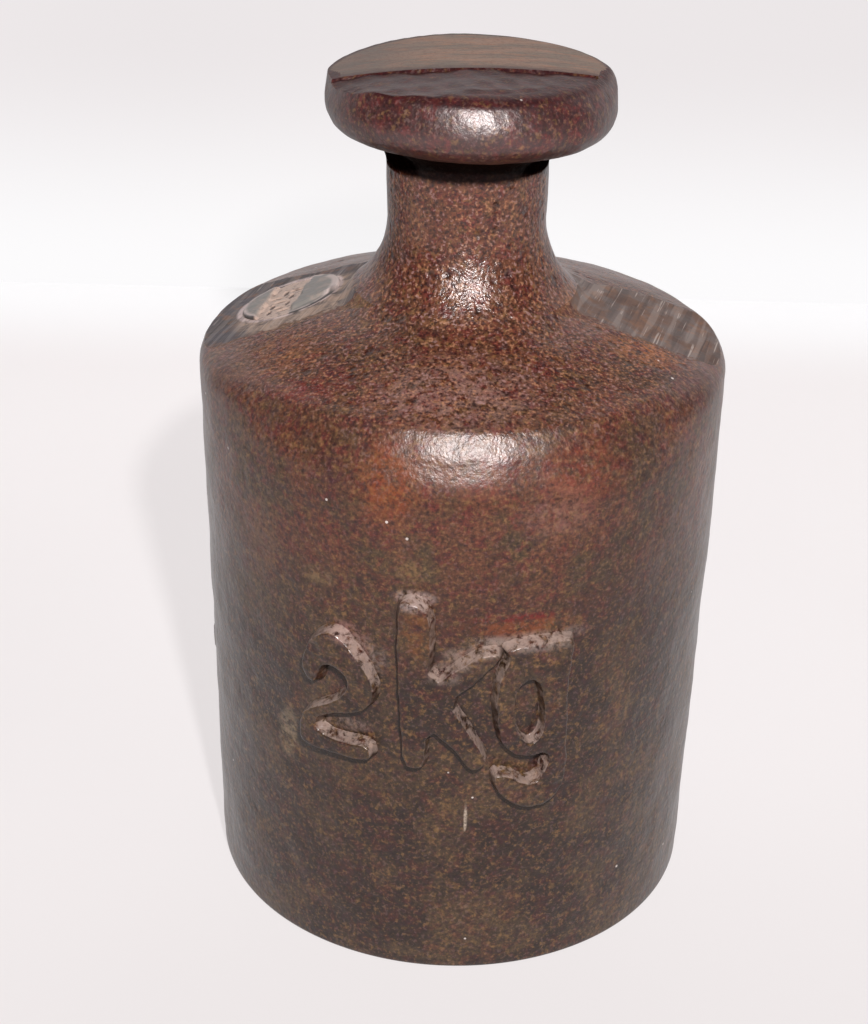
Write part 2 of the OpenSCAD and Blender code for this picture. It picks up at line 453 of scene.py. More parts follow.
@dataclass
class SharedEffects:
    """Shader groups that more than one finish uses."""

    grain: bpy.types.NodeTree = field(init=False)
    patina: bpy.types.NodeTree = field(init=False)
    marks: bpy.types.NodeTree = field(init=False)

    def __post_init__(self) -> None:
        """Builds each group once."""
        self.grain = self._sand_grain()
        self.patina = self._iron_patina()
        self.marks = self._file_marks()

    @staticmethod
    def _sand_grain() -> bpy.types.NodeTree:
        """The skin that moulding sand leaves on iron: low waves, fine grain and burst blisters.

        Returns:
            The group, which puts out a height in millimetres and masks of specks, hollows, pits and painted
            glints.
        """
        sheet, given, out = open_group(
            "sand_grain",
            {"Place": ("vector", None), "Coarseness": ("value", 1.0), "Pitting": ("value", 1.0)},
            {"Height": "value", "Specks": "value", "Hollows": "value", "Pits": "value", "Glints": "value"},
        )
        place, coarse, pitting = given.outputs[0], given.outputs[1], given.outputs[2]
        waves = sheet.noise(place, 0.42, 2.0, 0.5)
        grain = sheet.noise(place, 1.5, 2.5, 0.6)
        fine = sheet.noise(place, 3.6, 1.5, 0.55)
        distance, cell = sheet.cells(place, 0.55)
        chance = sheet.split(cell)[0]
        pit = sheet.step(distance, 0.4, 0.12) * sheet.step(chance, 0.66, 0.76)
        pit = pit * pitting
        height = (waves - 0.5) * 0.13
        rough = (grain - 0.5) * 0.15
        rough = rough + (fine - 0.5) * 0.05
        height = height + rough * coarse
        height = height - pit * 0.14
        crumbs = sheet.noise(sheet.shift(place, (17, 3, 29)), 2.3, 1.0, 0.5)
        speck = crumbs * 0.7 + fine * 0.3
        sheet.feed(out.inputs["Height"], height)
        sheet.feed(out.inputs["Specks"], sheet.step(speck, 0.54, 0.64))
        sheet.feed(out.inputs["Hollows"], sheet.step(speck, 0.47, 0.37))
        sheet.feed(out.inputs["Pits"], pit)
        # Painted glints: scattered tiny cells that the finishes turn near white.
        distance, cell = sheet.cells(sheet.shift(place, (3, 11, 7)), 0.33)
        glint = sheet.step(distance, 0.075, 0.045) * sheet.step(sheet.split(cell)[1], 0.8, 0.84)
        sheet.feed(out.inputs["Glints"], glint)
        return sheet.tree

    @staticmethod
    def _iron_patina() -> bpy.types.NodeTree:
        """The old brown skin of handled iron: umber, red and olive in clouds.

        Returns:
            The group, which puts out the colour and a cloud mask.
        """
        sheet, given, out = open_group(
            "iron_patina",
            {"Place": ("vector", None), "Umber": ("colour", (0.05, 0.03, 0.02, 1)),
             "Red": ("colour", (0.08, 0.02, 0.02, 1)), "Olive": ("colour", (0.06, 0.04, 0.02, 1)),
             "Redness": ("value", 0.5)},
            {"Colour": "colour", "Clouds": "value"},
        )
        place = given.outputs[0]
        clouds = sheet.noise(place, 0.11, 4.0, 0.6, 0.6)
        mottle = sheet.noise(sheet.shift(place, (31, 7, 3)), 0.55, 4.0, 0.65, 0.3)
        small = sheet.noise(sheet.shift(place, (5, 43, 9)), 1.7, 2.5, 0.65)
        red_share = sheet.math("MULTIPLY", sheet.step(mottle, 0.46, 0.64), given.outputs[4], clamp=True)
        tone = sheet.blend(sheet.step(clouds, 0.44, 0.62), given.outputs[1], given.outputs[3])
        tone = sheet.blend(red_share, tone, given.outputs[2])
        fleck = sheet.noise(sheet.shift(place, (71, 13, 37)), 1.3, 2.0, 0.6)
        tone = sheet.blend(sheet.step(fleck, 0.55, 0.66) * 0.45, tone, paint(124, 92, 56))
        tone = sheet.blend(sheet.step(fleck, 0.46, 0.35) * 0.5, tone, paint(48, 24, 32))
        shade = small * 3.2 - 0.6
        grey = sheet.node("ShaderNodeCombineXYZ")
        for socket in grey.inputs:
            sheet.feed(socket, shade)
        tone = sheet.blend(0.85, tone, grey.outputs[0], "MULTIPLY")
        sheet.feed(out.inputs["Colour"], tone)
        sheet.feed(out.inputs["Clouds"], clouds)
        return sheet.tree

    @staticmethod
    def _file_marks() -> bpy.types.NodeTree:
        """Parallel strokes of a coarse file along Y, some deep and some bright.

        Returns:
            The group, which puts out a height in millimetres, a bright mask and a dark mask.
        """
        sheet, given, out = open_group(
            "file_marks",
            {"Place": ("vector", None), "Spacing": ("value", 1.0)},
            {"Height": "value", "Bright": "value", "Dark": "value"},
        )
        place, spacing = given.outputs[0], given.outputs[1]
        scaled = sheet.node("ShaderNodeVectorMath", operation="SCALE")
        sheet.feed(scaled.inputs[0], place)
        sheet.feed(scaled.inputs["Scale"], spacing)
        thin = sheet.noise(sheet.place(scaled.outputs[0], (2.6, 0.07, 0.2)), 1.0, 2.0, 0.6)
        wide = sheet.noise(sheet.place(scaled.outputs[0], (0.9, 0.05, 0.1), move=(9, 3, 1)), 1.0, 1.0, 0.5)
        patches = sheet.place(scaled.outputs[0], (0.35, 0.22, 0.3), move=(2, 8, 5))
        broken = sheet.noise(patches, 1.0, 2.0, 0.6)
        height = thin * 0.09 + wide * 0.11
        sheet.feed(out.inputs["Height"], height)
        bright = sheet.step(thin, 0.58, 0.68) * sheet.step(broken, 0.4, 0.54)
        band = sheet.step(wide, 0.54, 0.62) * 0.3
        sheet.feed(out.inputs["Bright"], sheet.math("MAXIMUM", bright, band))
        band = sheet.step(wide, 0.47, 0.38) * 0.75
        sheet.feed(out.inputs["Dark"], sheet.math("MAXIMUM", sheet.step(thin, 0.42, 0.30), band))
        return sheet.tree


# Finishes


@dataclass(frozen=True)
class Finish:
    """What every finish shares: a name and a Principled shader to wire."""

    name: str

    def open(self) -> tuple[bpy.types.Material, Sheet, bpy.types.Node]:
        """Starts the material.

        Returns:
            The material, its sheet and its Principled shader.
        """
        material = bpy.data.materials.new(self.name)
        material.use_nodes = True
        sheet = Sheet(material.node_tree)
        shader = next(n for n in sheet.tree.nodes if n.type == "BSDF_PRINCIPLED")
        return material, sheet, shader


@dataclass(frozen=True)
class Stain:
    """A patch of another colour on the casting's skin.

    The place and reach are in millimetres, and strength is how much of the colour shows.
    """

    place: tuple[float, float, float]
    reach: tuple[float, float, float]
    colour: tuple[int, int, int]
    strength: float


@dataclass(frozen=True)
class CastSkin(Finish):
    """The cast and handled skin of the iron, brown with red and rust, and grainier on top."""

    name: str = "cast_iron_skin"
    low: tuple[int, int, int] = (43, 30, 21)
    high: tuple[int, int, int] = (98, 58, 40)
    knob: tuple[int, int, int] = (62, 28, 26)
    red: tuple[int, int, int] = (92, 34, 32)
    olive: tuple[int, int, int] = (74, 56, 38)
    speck: tuple[int, int, int] = (196, 140, 104)
    hollow: tuple[int, int, int] = (28, 12, 14)
    # Painted shade: the near-black colour of the ring under the knob.
    throat_shade_tone: tuple[int, int, int] = (8, 5, 6)
    # Darker skin and painted shade on the knob's upward-facing front.
    crest_skin_and_shade: tuple[int, int, int] = (46, 20, 24)
    roughness: float = 0.29
    shine: float = 0.42
    tint: tuple[float, float, float, float] = (1.0, 0.92, 0.90, 1.0)
    rim_height: float = 72.0
    # Share of pale dust and painted light on the raised characters' upper flanks.
    flank_dust_and_light: float = 0.0
    stains: tuple[Stain, ...] = (
        Stain((-8.0, -32.2, 70.5), (3.2, 4.0, 4.5), (164, 82, 34), 0.42),
        Stain((1.6, -33.2, 71.5), (3.5, 4.0, 2.5), (150, 74, 52), 0.30),
        Stain((15.0, -29.5, 71.0), (6.0, 4.0, 3.5), (136, 60, 40), 0.45),
        Stain((11.6, -31.1, 66.5), (4.5, 4.0, 3.0), (150, 112, 100), 0.30),
        Stain((8.0, -32.0, 51.8), (6.5, 4.0, 1.3), (150, 76, 34), 0.45),
        Stain((7.0, -32.2, 53.2), (6.0, 4.0, 0.5), (110, 12, 18), 0.75),
        Stain((-4.4, -33.0, 52.0), (1.8, 4.0, 4.0), (126, 76, 34), 0.50),
        Stain((-16.2, -28.8, 56.3), (1.8, 4.0, 1.2), (168, 138, 100), 0.32),
        Stain((-5.4, -32.7, 59.5), (2.2, 4.0, 1.8), (150, 124, 84), 0.26),
        Stain((-20.6, -25.4, 31.5), (1.2, 4.0, 3.4), (172, 150, 118), 0.50),
        Stain((-23.5, -23.3, 58.0), (2.0, 5.0, 6.0), (132, 100, 72), 0.30),
        Stain((-14.9, -29.7, 69.7), (2.0, 4.0, 2.2), (70, 18, 34), 0.60),
        Stain((22.1, -9.7, 78.1), (5.0, 3.0, 3.0), (172, 104, 58), 0.55),
        Stain((15.5, -4.5, 81.2), (4.0, 3.0, 3.0), (176, 112, 58), 0.60),
        Stain((28.7, -13.7, 75.0), (5.0, 6.0, 3.0), (60, 14, 14), 0.70),
        Stain((-27.8, -14.0, 75.0), (4.0, 5.0, 3.0), (46, 22, 22), 0.60),
        Stain((-17.5, -20.8, 77.0), (4.5, 2.0, 2.0), (112, 20, 16), 0.60),
        Stain((-22.5, -13.0, 77.5), (6.0, 4.0, 3.0), (140, 86, 50), 0.40),
        # Painted highlight: a pale pinkish haze over the middle of the front shoulder.
        Stain((-1.0, -24.0, 78.0), (9.0, 6.0, 4.0), (158, 124, 116), 0.45),
        Stain((22.0, -24.0, 60.0), (9.0, 8.0, 14.0), (36, 18, 12), 0.40),
        Stain((-20.0, -26.2, 66.3), (2.6, 4.0, 0.45), (40, 26, 34), 0.60),
        Stain((-16.8, -28.4, 65.4), (2.6, 4.0, 0.45), (40, 26, 34), 0.60),
        Stain((-13.2, -30.3, 64.5), (2.6, 4.0, 0.45), (40, 26, 34), 0.50),
        Stain((1.9, -32.9, 24.1), (0.2, 4.0, 2.0), (206, 186, 166), 0.80),
        Stain((6.4, -32.3, 13.9), (1.3, 4.0, 0.45), (22, 12, 12), 0.80),
        Stain((8.2, -31.9, 12.9), (1.3, 4.0, 0.45), (22, 12, 12), 0.80),
        Stain((10.0, -31.4, 11.9), (1.3, 4.0, 0.45), (22, 12, 12), 0.80),
        # Pale bands along the upper edges of the characters: dust, and painted light on their lit upper
        # flanks.
        Stain((9.6, -31.6, 50.1), (6.0, 4.0, 0.9), (166, 146, 136), 0.50),
        Stain((-1.2, -33.0, 46.0), (1.8, 4.0, 1.0), (166, 142, 130), 0.50),
        Stain((1.0, -33.0, 48.0), (2.0, 4.0, 1.0), (166, 142, 130), 0.50),
        Stain((3.7, -32.8, 49.7), (2.2, 4.0, 1.0), (166, 146, 136), 0.50),
        Stain((-13.3, -30.4, 49.7), (1.8, 4.0, 1.1), (178, 134, 128), 0.50),
        Stain((-11.3, -31.2, 48.1), (1.5, 4.0, 1.3), (172, 140, 132), 0.50),
        Stain((-9.2, -31.8, 46.4), (1.2, 4.0, 1.8), (140, 124, 118), 0.50),
        Stain((-4.8, -32.8, 55.7), (2.2, 4.0, 0.9), (206, 184, 180), 0.50),
        Stain((-13.2, -30.3, 36.3), (3.0, 4.0, 0.9), (160, 136, 126), 0.45),
    )

    def build(self, effects: SharedEffects) -> bpy.types.Material:
        """Builds the material.

        Args:
            effects: The shared shader groups.

        Returns:
            The material.
        """
        material, sheet, shader = self.open()
        place = sheet.object_mm()
        up = sheet.split(place)[2]
        handled = sheet.step(up, 98, 102)
        top = sheet.step(up, self.rim_height + 2, self.rim_height + 6) * (1.0 - handled)
        rim = sheet.step(up, 68, 71) * sheet.step(up, 77, 75.5)
        grain = sheet.use(effects.grain, Place=place, Coarseness=top * 0.55 + 0.45, Pitting=top * 0.7 + 0.2)
        # Darker towards the foot and lighter towards the shoulder.
        base = sheet.blend(sheet.step(up, 44, 66), paint(*self.low), paint(*self.high))
        base = sheet.blend(sheet.step(up, 98, 104), base, paint(*self.knob))
        olive = sheet.blend(sheet.step(up, 96, 60), base, paint(*self.olive))
        patina = sheet.use(effects.patina, Place=place, Umber=base, Red=paint(*self.red), Olive=olive,
                           Redness=sheet.step(up, 40, 76) * 0.45 + 0.3)
        # Darker skin and painted shade on the knob's upward-facing front top and along the crown's joint;
        # the specular is dulled there too.
        facing = sheet.split(sheet.node("ShaderNodeTexCoord").outputs["Normal"])[2]
        crest_skin_and_shade = sheet.step(facing, 0.5, 0.85) * sheet.step(up, 103, 105)
        crest_skin_and_shade = sheet.math("MAXIMUM", crest_skin_and_shade, sheet.step(up, 109.2, 109.7))
        # Painted shade: a near-black ring round the neck just under the knob, where the knob's shadow
        # falls; its specular is dulled too.
        painted_throat_shade = sheet.step(up, 97.9, 98.9) * sheet.step(up, 104.0, 103.0)
        painted_throat_shade = painted_throat_shade * sheet.step(sheet.distance(place), 13.5, 12.0)
        tone = self.stained(sheet, place, patina["Colour"], grain, top)
        tone = sheet.blend(crest_skin_and_shade * 0.36, tone, paint(*self.crest_skin_and_shade))
        tone = sheet.blend(painted_throat_shade * 0.96, tone, paint(*self.throat_shade_tone))
        sheet.feed(shader.inputs["Base Color"], tone)
        dull = grain["Specks"] * 0.08 + self.roughness
        dull = dull + sheet.step(patina["Clouds"], 0.4, 0.65) * 0.05 + handled * 0.1 + rim * 0.075
        sheet.feed(shader.inputs["Roughness"], dull)
        gloss = self.gloss(sheet, place, handled, rim, crest_skin_and_shade * 0.7 + painted_throat_shade * 0.9)
        sheet.feed(shader.inputs["Specular IOR Level"], gloss)
        shader.inputs["Specular Tint"].default_value = self.tint
        sheet.feed(shader.inputs["Normal"], sheet.bump(grain["Height"], MM, 1.0))
        return material

    def stained(self, sheet: Sheet, place: Signal, tone: Signal, grain: dict[str, Signal],
                top: Signal) -> Signal:
        """Lays the stains, some of them painted light, then the specks, hollows, painted glints and pits of
        the grain, and the characters' flank dust with painted light, over the patina.

        Args:
            sheet: The material's sheet.
            place: The place on the object, in millimetres.
            tone: The patina's colour.
            grain: The sand grain's outputs.
            top: Mask of the shoulder and the neck.

        Returns:
            The colour.
        """
        torn = sheet.noise(place, 0.9, 4.0, 0.7, 0.4)
        for stain in self.stains:
            mask = sheet.spot(place, stain.place, stain.reach, 1.1) * sheet.step(torn, 0.36, 0.6)
            tone = sheet.blend(mask * stain.strength, tone, paint(*stain.colour))
        tone = sheet.blend(grain["Hollows"] * (top * 0.3 + 0.4), tone, paint(*self.hollow))
        pinkish = sheet.step(sheet.noise(place, 0.6, 2.0, 0.5), 0.42, 0.58)
        crumb = sheet.blend(pinkish, paint(*self.speck), paint(176, 138, 134))
        tone = sheet.blend(grain["Specks"] * (top * 0.3 + 0.14), tone, crumb)
        # Painted glints: tiny near-white dots in the base colour.
        tone = sheet.blend(grain["Glints"] * 0.85, tone, paint(236, 222, 214))
        tone = sheet.blend(grain["Pits"] * 0.6, tone, paint(26, 14, 14))
        # Pale dust and painted light on the upper flanks of the raised characters.
        if self.flank_dust_and_light > 0:
            tone = sheet.blend(self.flank_dust_and_light_mask(sheet, place, torn), tone, paint(166, 144, 134))
        return tone

    def gloss(self, sheet: Sheet, place: Signal, handled: Signal, rim: Signal, matt: Signal) -> Signal:
        """How strongly the skin shines: most on the rim, the knob's brow and the foot of the neck.

        Args:
            sheet: The material's sheet.
            place: The place on the object, in millimetres.
            handled: Mask of the knob.
            rim: Mask of the rim.
            matt: How far the specular is dulled on the knob's upturned front and in the painted shade under
                the knob.

        Returns:
            The specular level.
        """
        across, back, up = sheet.split(place)
        sides = sheet.step(across, 5, 9) * 0.5 + sheet.step(across, -5, -9)
        matt = matt + sides * sheet.step(up, 82, 87) * (1.0 - handled) * 0.8
        flat = sheet.step(up, 75.5, 77.5) * sheet.step(up, 82, 79.5)
        foot = sheet.step(up, 79, 81) * sheet.step(back, -4, -8)
        brow = handled * sheet.step(back, -12.5, -16.5)
        shine = rim * 0.55 + self.shine - flat * 0.2 + sheet.step(up, 70, 66) * 0.15
        shine = shine + foot * 0.35 + brow * 0.5
        return sheet.math("SUBTRACT", 1.0, matt, clamp=True) * shine

    def flank_dust_and_light_mask(self, sheet: Sheet, place: Signal, torn: Signal) -> Signal:
        """Where pale dust clings to the flanks of the raised characters, with painted light on the flanks
        that face up, but not under them.

        Args:
            sheet: The material's sheet.
            place: The place on the object, in millimetres.
            torn: Noise that breaks the dust up.

        Returns:
            The mask.
        """
        across, back, upward = sheet.split(sheet.node("ShaderNodeTexCoord").outputs["Normal"])
        x, y, _ = sheet.split(place)
        outward = across * x + back * y
        flank = sheet.step(outward / 33.5, 0.86, 0.50)
        mask = flank * sheet.step(upward, -0.35, 0.3)
        mask = mask * sheet.step(torn, 0.36, 0.56)
        return mask * self.flank_dust_and_light


@dataclass(frozen=True)
class GroundIron(Finish):
    """A shoulder ground flat and left to dull: grey-brown, with strokes of the file across it."""

    name: str = "ground_iron"
    grey: tuple[int, int, int] = (104, 88, 82)
    brown: tuple[int, int, int] = (104, 76, 62)
    rust: tuple[int, int, int] = (136, 92, 62)
    bright: tuple[int, int, int] = (206, 190, 180)
    tilt: float = 13.0
    spacing: float = 1.0
    centre: tuple[float, float, float] = (24.0, 0.0, 78.0)
    worn: float = 0.0
    mouth: tuple[float, float, float] = SEAL_CENTRE
    strokes: float = 0.6
    heading: float = 0.0
    depth: float = 0.5
    slope: float = 19.5

    def left_skin(self, sheet: Sheet, place: Signal, spread: Signal) -> Signal:
        """Where the cast skin still stands along the front edge of the ground face.

        Args:
            sheet: The material's sheet.
            place: The place on the object, in millimetres.
            spread: Noise that makes the edge ragged.

        Returns:
            The mask.
        """
        along = sheet.split(sheet.turn(place, -self.heading))[0]
        taken = sheet.distance(place) - along
        taken = taken * -math.sin(math.radians(self.slope))
        taken = taken + (spread - 0.5) * 0.9
        mask = sheet.step(taken + self.depth, 0.17, 0.05)
        return mask * sheet.step(sheet.split(place)[1], 2.0, -2.0)

    def build(self, effects: SharedEffects) -> bpy.types.Material:
        """Builds the material.

        Args:
            effects: The shared shader groups.

        Returns:
            The material.
        """
        material, sheet, shader = self.open()
        place = sheet.object_mm()
        strokes = sheet.use(effects.marks, Place=sheet.turn(place, self.tilt),
                            Spacing=self.spacing)
        clouds = sheet.noise(place, 0.22, 4.0, 0.6, 0.5)
        tone = sheet.blend(sheet.step(clouds, 0.42, 0.60), paint(*self.grey), paint(*self.brown))
        spread = sheet.noise(place, 0.5, 4.0, 0.65, 0.4)
        tone = sheet.blend(sheet.step(spread, 0.5, 0.66) * 0.55, tone, paint(*self.rust))
        if self.worn > 0:
            ring = sheet.spot(place, self.centre, (8.6, 8.6, 8.6), 0.35)
            ring = ring * sheet.step(spread, 0.3, 0.55)
            tone = sheet.blend(ring * self.worn, tone, paint(198, 168, 146))
            reach = sheet.spread_from(place, self.mouth)
            burr = sheet.step(reach, 6.4, 6.6) * sheet.step(reach, 7.5, 7.0)
            burr = burr * sheet.step(spread, 0.36, 0.5)
            tone = sheet.blend(burr * 0.8, tone, paint(214, 192, 188))
        tone = sheet.blend(strokes["Dark"] * self.strokes, tone, paint(52, 40, 38))
        tone = sheet.blend(strokes["Bright"] * self.strokes, tone, paint(*self.bright))
        left = self.left_skin(sheet, place, spread)
        skin = sheet.use(effects.patina, Place=place, Umber=paint(104, 66, 48), Red=paint(92, 36, 32),
                         Olive=paint(112, 84, 56), Redness=0.6)
        grain = sheet.use(effects.grain, Place=place, Coarseness=left * 0.8 + 0.2,
                          Pitting=0.3)
        crumbs = sheet.blend(grain["Specks"] * 0.5, skin["Colour"],
                             paint(176, 128, 98))
        tone = sheet.blend(left, tone, crumbs)
        sheet.feed(shader.inputs["Base Color"], tone)
        shine = strokes["Bright"] * 0.4 + 0.03
        sheet.feed(shader.inputs["Metallic"], shine)
        shader.inputs["Specular IOR Level"].default_value = 0.22
        sheet.feed(shader.inputs["Roughness"], clouds * 0.2 + 0.4)
        normal = sheet.bump(grain["Height"], MM, 0.8)
        sheet.feed(shader.inputs["Normal"], sheet.bump(strokes["Height"], MM, 1.0, normal))
        return material


@dataclass(frozen=True)
class FiledCrown(Finish):
    """The top of the knob, filed from side to side and rusted again to tan and olive."""

    name: str = "filed_crown"
    tan: tuple[int, int, int] = (152, 120, 100)
    olive: tuple[int, int, int] = (122, 104, 88)
    rust: tuple[int, int, int] = (176, 116, 80)
    arc: float = 110.0
    arc_centre: float = 3.0
    rounding: float = 2.6
    rounding_start: float = 15.15
    tipped_back: float = 0.3

    def worn_edge(self, sheet: Sheet, place: Signal, across: Signal) -> Signal:
        """Where the crown meets the knob's rounding, and the skin's colour runs over its edge.

        Args:
            sheet: The material's sheet.
            place: The place on the object, in millimetres.
            across: Its distance across the knob.

        Returns:
            The mask.
        """
        gap = across - self.arc_centre
        drop = gap * gap / (2 * self.arc)
        rise = self.rounding - drop
        reach = self.rounding ** 2 - rise * rise
        reach = sheet.math("SQRT", sheet.math("MAXIMUM", reach, 0.0))
        radius = sheet.distance(sheet.shift(place, (0, -self.tipped_back, 0)))
        inside = radius - reach - self.rounding_start
        return sheet.step(inside, -0.9, -0.35) * 0.85

    def build(self, effects: SharedEffects) -> bpy.types.Material:
        """Builds the material.

        Args:
            effects: The shared shader groups.

        Returns:
            The material.
        """
        material, sheet, shader = self.open()
        place = sheet.object_mm()
        turned = sheet.turn(place, 88)
        strokes = sheet.use(effects.marks, Place=turned, Spacing=1.5)
        clouds = sheet.noise(sheet.place(place, (0.4, 1, 1)), 0.3, 4.0, 0.6, 0.3)
        streaks = sheet.noise(sheet.place(place, (0.26, 1.6, 1)), 1.0, 3.0, 0.65)
        tone = sheet.blend(sheet.step(clouds, 0.40, 0.62), paint(*self.olive), paint(*self.tan))
        tone = sheet.blend(sheet.step(streaks, 0.5, 0.68) * 0.6, tone, paint(*self.rust))
        tone = sheet.blend(strokes["Dark"] * 0.25, tone, paint(80, 60, 50))
        across, back, _ = sheet.split(place)
        tone = sheet.blend(sheet.step(across, -4, -14) * 0.5, tone, paint(88, 80, 76))
        crumbs = sheet.noise(place, 2.2, 2.0, 0.6)
        tone = sheet.blend(sheet.step(crumbs, 0.5, 0.62) * 0.35, tone, paint(104, 66, 52))
        tone = sheet.blend(self.worn_edge(sheet, place, across), tone, paint(56, 32, 32))
        ragged = back + sheet.noise(place, 0.7, 3.0, 0.6) * 3.0
        tone = sheet.blend(sheet.step(ragged, 1.4, -1.4) * 0.85, tone, paint(70, 42, 38))
        sheet.feed(shader.inputs["Base Color"], tone)
        sheet.feed(shader.inputs["Roughness"], clouds * 0.2 + 0.48)
        grain = sheet.use(effects.grain, Place=place, Coarseness=0.35, Pitting=0.2)
        normal = sheet.bump(grain["Height"], MM, 0.7)
        sheet.feed(shader.inputs["Normal"], sheet.bump(strokes["Height"], MM, 0.5, normal))
        return material


@dataclass(frozen=True)
class Lead(Finish):
    """Soft lead: grey-green where it was left smooth, and pinkish dirt where it was struck."""

    name: str = "seal_lead"
    smooth: tuple[int, int, int] = (126, 121, 116)
    dirt: tuple[int, int, int] = (196, 168, 152)
    deep: tuple[int, int, int] = (92, 78, 72)
    burr: tuple[int, int, int] = (206, 186, 180)
    centre: tuple[float, float, float] = SEAL_CENTRE
    slope: float = 19.5
    rim: tuple[float, float] = (33.3, 74.9)
    floor: float = -0.8
    roughness: float = 0.5
    band: tuple[float, float] | None = None
    heading: float = 0.0

    def build(self, effects: SharedEffects) -> bpy.types.Material:
        """Builds the material.

        Args:
            effects: The shared shader groups.

        Returns:
            The material.
        """
        material, sheet, shader = self.open()
        place = sheet.object_mm()
        grain = sheet.use(effects.grain, Place=place, Coarseness=0.35, Pitting=0.25)
        clouds = sheet.noise(place, 0.5, 3.0, 0.6, 0.4)
        tone = sheet.blend(sheet.step(clouds, 0.45, 0.7) * 0.35,
                           paint(*self.smooth), paint(*self.dirt))
        if self.band is not None:
            along = sheet.split(sheet.turn(place, -self.heading))[0]
            reach = sheet.spread_from(place, self.centre)
            edge = sheet.step(reach, 5.5, 6.1) * sheet.step(clouds, 0.34, 0.46)
            tone = sheet.blend(edge * 0.7, tone, paint(*self.burr))
            # Painted shade: a dark line in the gap where the lead has pulled from the iron, drawn on the
            # front side of the mouth only.
            gap = sheet.step(reach, 6.0, 6.35) * sheet.step(sheet.split(place)[1], 4.0, 2.0)
            tone = sheet.blend(gap * 0.9, tone, paint(22, 18, 18))
            start, end = self.band
            inside = sheet.step(along, start - 0.3, start + 0.3) * sheet.step(along, end + 0.3, end - 0.3)
            dirty = sheet.noise(place, 1.6, 3.0, 0.6)
            tone = sheet.blend(inside * 0.85, tone, paint(*self.dirt))
            mask = inside * sheet.step(dirty, 0.48, 0.36)
            tone = sheet.blend(mask * 0.6, tone, paint(*self.deep))
            off = sheet.node("ShaderNodeVectorMath", operation="DOT_PRODUCT")
            sheet.feed(off.inputs[0], place)
            off.inputs[1].default_value = slope_normal(self.slope, math.radians(self.heading))
            tilt = math.radians(self.slope)
            level = self.rim[0] * math.sin(tilt) + self.rim[1] * math.cos(tilt)
            struck = sheet.step(off.outputs["Value"], level + self.floor - 0.08, level + self.floor - 0.24)
            tone = sheet.blend(struck * 0.85, tone, paint(58, 46, 44))
        sheet.feed(shader.inputs["Base Color"], tone)
        sheet.feed(shader.inputs["Roughness"], clouds * 0.2 + (self.roughness - 0.1))
        sheet.feed(shader.inputs["Normal"], sheet.bump(grain["Height"], MM, 0.6))
        return material


@dataclass(frozen=True)
class TurnedBrass(Finish):
    """The closing disc: turned brass with fine rings, dulled where it was handled."""

    name: str = "disc_brass"
    bright: tuple[int, int, int] = (196, 156, 82)
    dull: tuple[int, int, int] = (126, 96, 54)

    def build(self, effects: SharedEffects) -> bpy.types.Material:
        """Builds the material.

        Args:
            effects: The shared shader groups.

        Returns:
            The material.
        """
        material, sheet, shader = self.open()
        place = sheet.object_mm()
        clouds = sheet.noise(place, 0.6, 3.0, 0.6)
        strokes = sheet.use(effects.marks, Place=place, Spacing=2.5)
        tone = sheet.blend(sheet.step(clouds, 0.4, 0.62), paint(*self.bright), paint(*self.dull))
        sheet.feed(shader.inputs["Base Color"], tone)
        shader.inputs["Metallic"].default_value = 1.0
        sheet.feed(shader.inputs["Roughness"], clouds * 0.3 + 0.25)
        sheet.feed(shader.inputs["Normal"], sheet.bump(strokes["Height"], MM, 0.2))
        return material


@dataclass(frozen=True)
class PalePaper(Finish):
    """The plain floor and backdrop, dimmer to the weight than to the camera, and clear from behind."""

    name: str = "pale_paper"
    near: tuple[int, int, int] = (180, 176, 176)
    far: tuple[int, int, int] = (250, 247, 247)
    seen: tuple[int, int, int] = (246, 240, 240)
    bounce_near: tuple[int, int, int] = (72, 72, 76)
    bounce_far: tuple[int, int, int] = (190, 190, 196)
    glow: float = 0.82
    fold: float = 205.0

    def build(self) -> bpy.types.Material:
        """Builds the material and returns it.

        Returns:
            The material.
        """
        material, sheet, shader = self.open()
        place = sheet.object_mm()
        depth = sheet.split(place)[1]
        away = sheet.step(depth, -160, 180)
        clouds = sheet.noise(place, 0.006, 2.0, 0.5)
        path = sheet.node("ShaderNodeLightPath")
        seen = sheet.math("MAXIMUM", path.outputs["Is Camera Ray"], path.outputs["Is Glossy Ray"])
        seen = sheet.math("MAXIMUM", seen, path.outputs["Is Transmission Ray"])
        lit = sheet.blend(away, paint(*self.near), paint(*self.far))
        bounced = sheet.blend(away, paint(*self.bounce_near), paint(*self.bounce_far))
        sheet.feed(shader.inputs["Base Color"], sheet.blend(seen, bounced, lit))
        shader.inputs["Roughness"].default_value = 0.9
        shader.inputs["Specular IOR Level"].default_value = 0.1
        shaded = paint(*(value - 5 for value in self.seen))
        tone = sheet.blend(sheet.step(clouds, 0.3, 0.7), paint(*self.seen), shaded)
        height = sheet.split(place)[2]
        # Painted light: the emitted colour brightens to near white along the fold between floor and
        # backdrop.
        fold = sheet.step(depth, self.fold - 50, self.fold - 4) * sheet.step(height, 56, 4)
        glow = sheet.node("ShaderNodeEmission")
        sheet.feed(glow.inputs["Color"], sheet.blend(fold, tone, paint(255, 254, 255)))
        both = sheet.node("ShaderNodeMixShader")
        sheet.feed(both.inputs[0], seen * self.glow)
        sheet.feed(both.inputs[1], shader.outputs[0])
        sheet.feed(both.inputs[2], glow.outputs[0])
        behind = sheet.node("ShaderNodeMixShader")
        sheet.feed(behind.inputs[0], sheet.node("ShaderNodeNewGeometry").outputs["Backfacing"])
        sheet.feed(behind.inputs[1], both.outputs[0])
        sheet.feed(behind.inputs[2], sheet.node("ShaderNodeBsdfTransparent").outputs[0])
        out = next(n for n in sheet.tree.nodes if n.type == "OUTPUT_MATERIAL")
        sheet.feed(out.inputs["Surface"], behind.outputs[0])
        return material


# Modelling


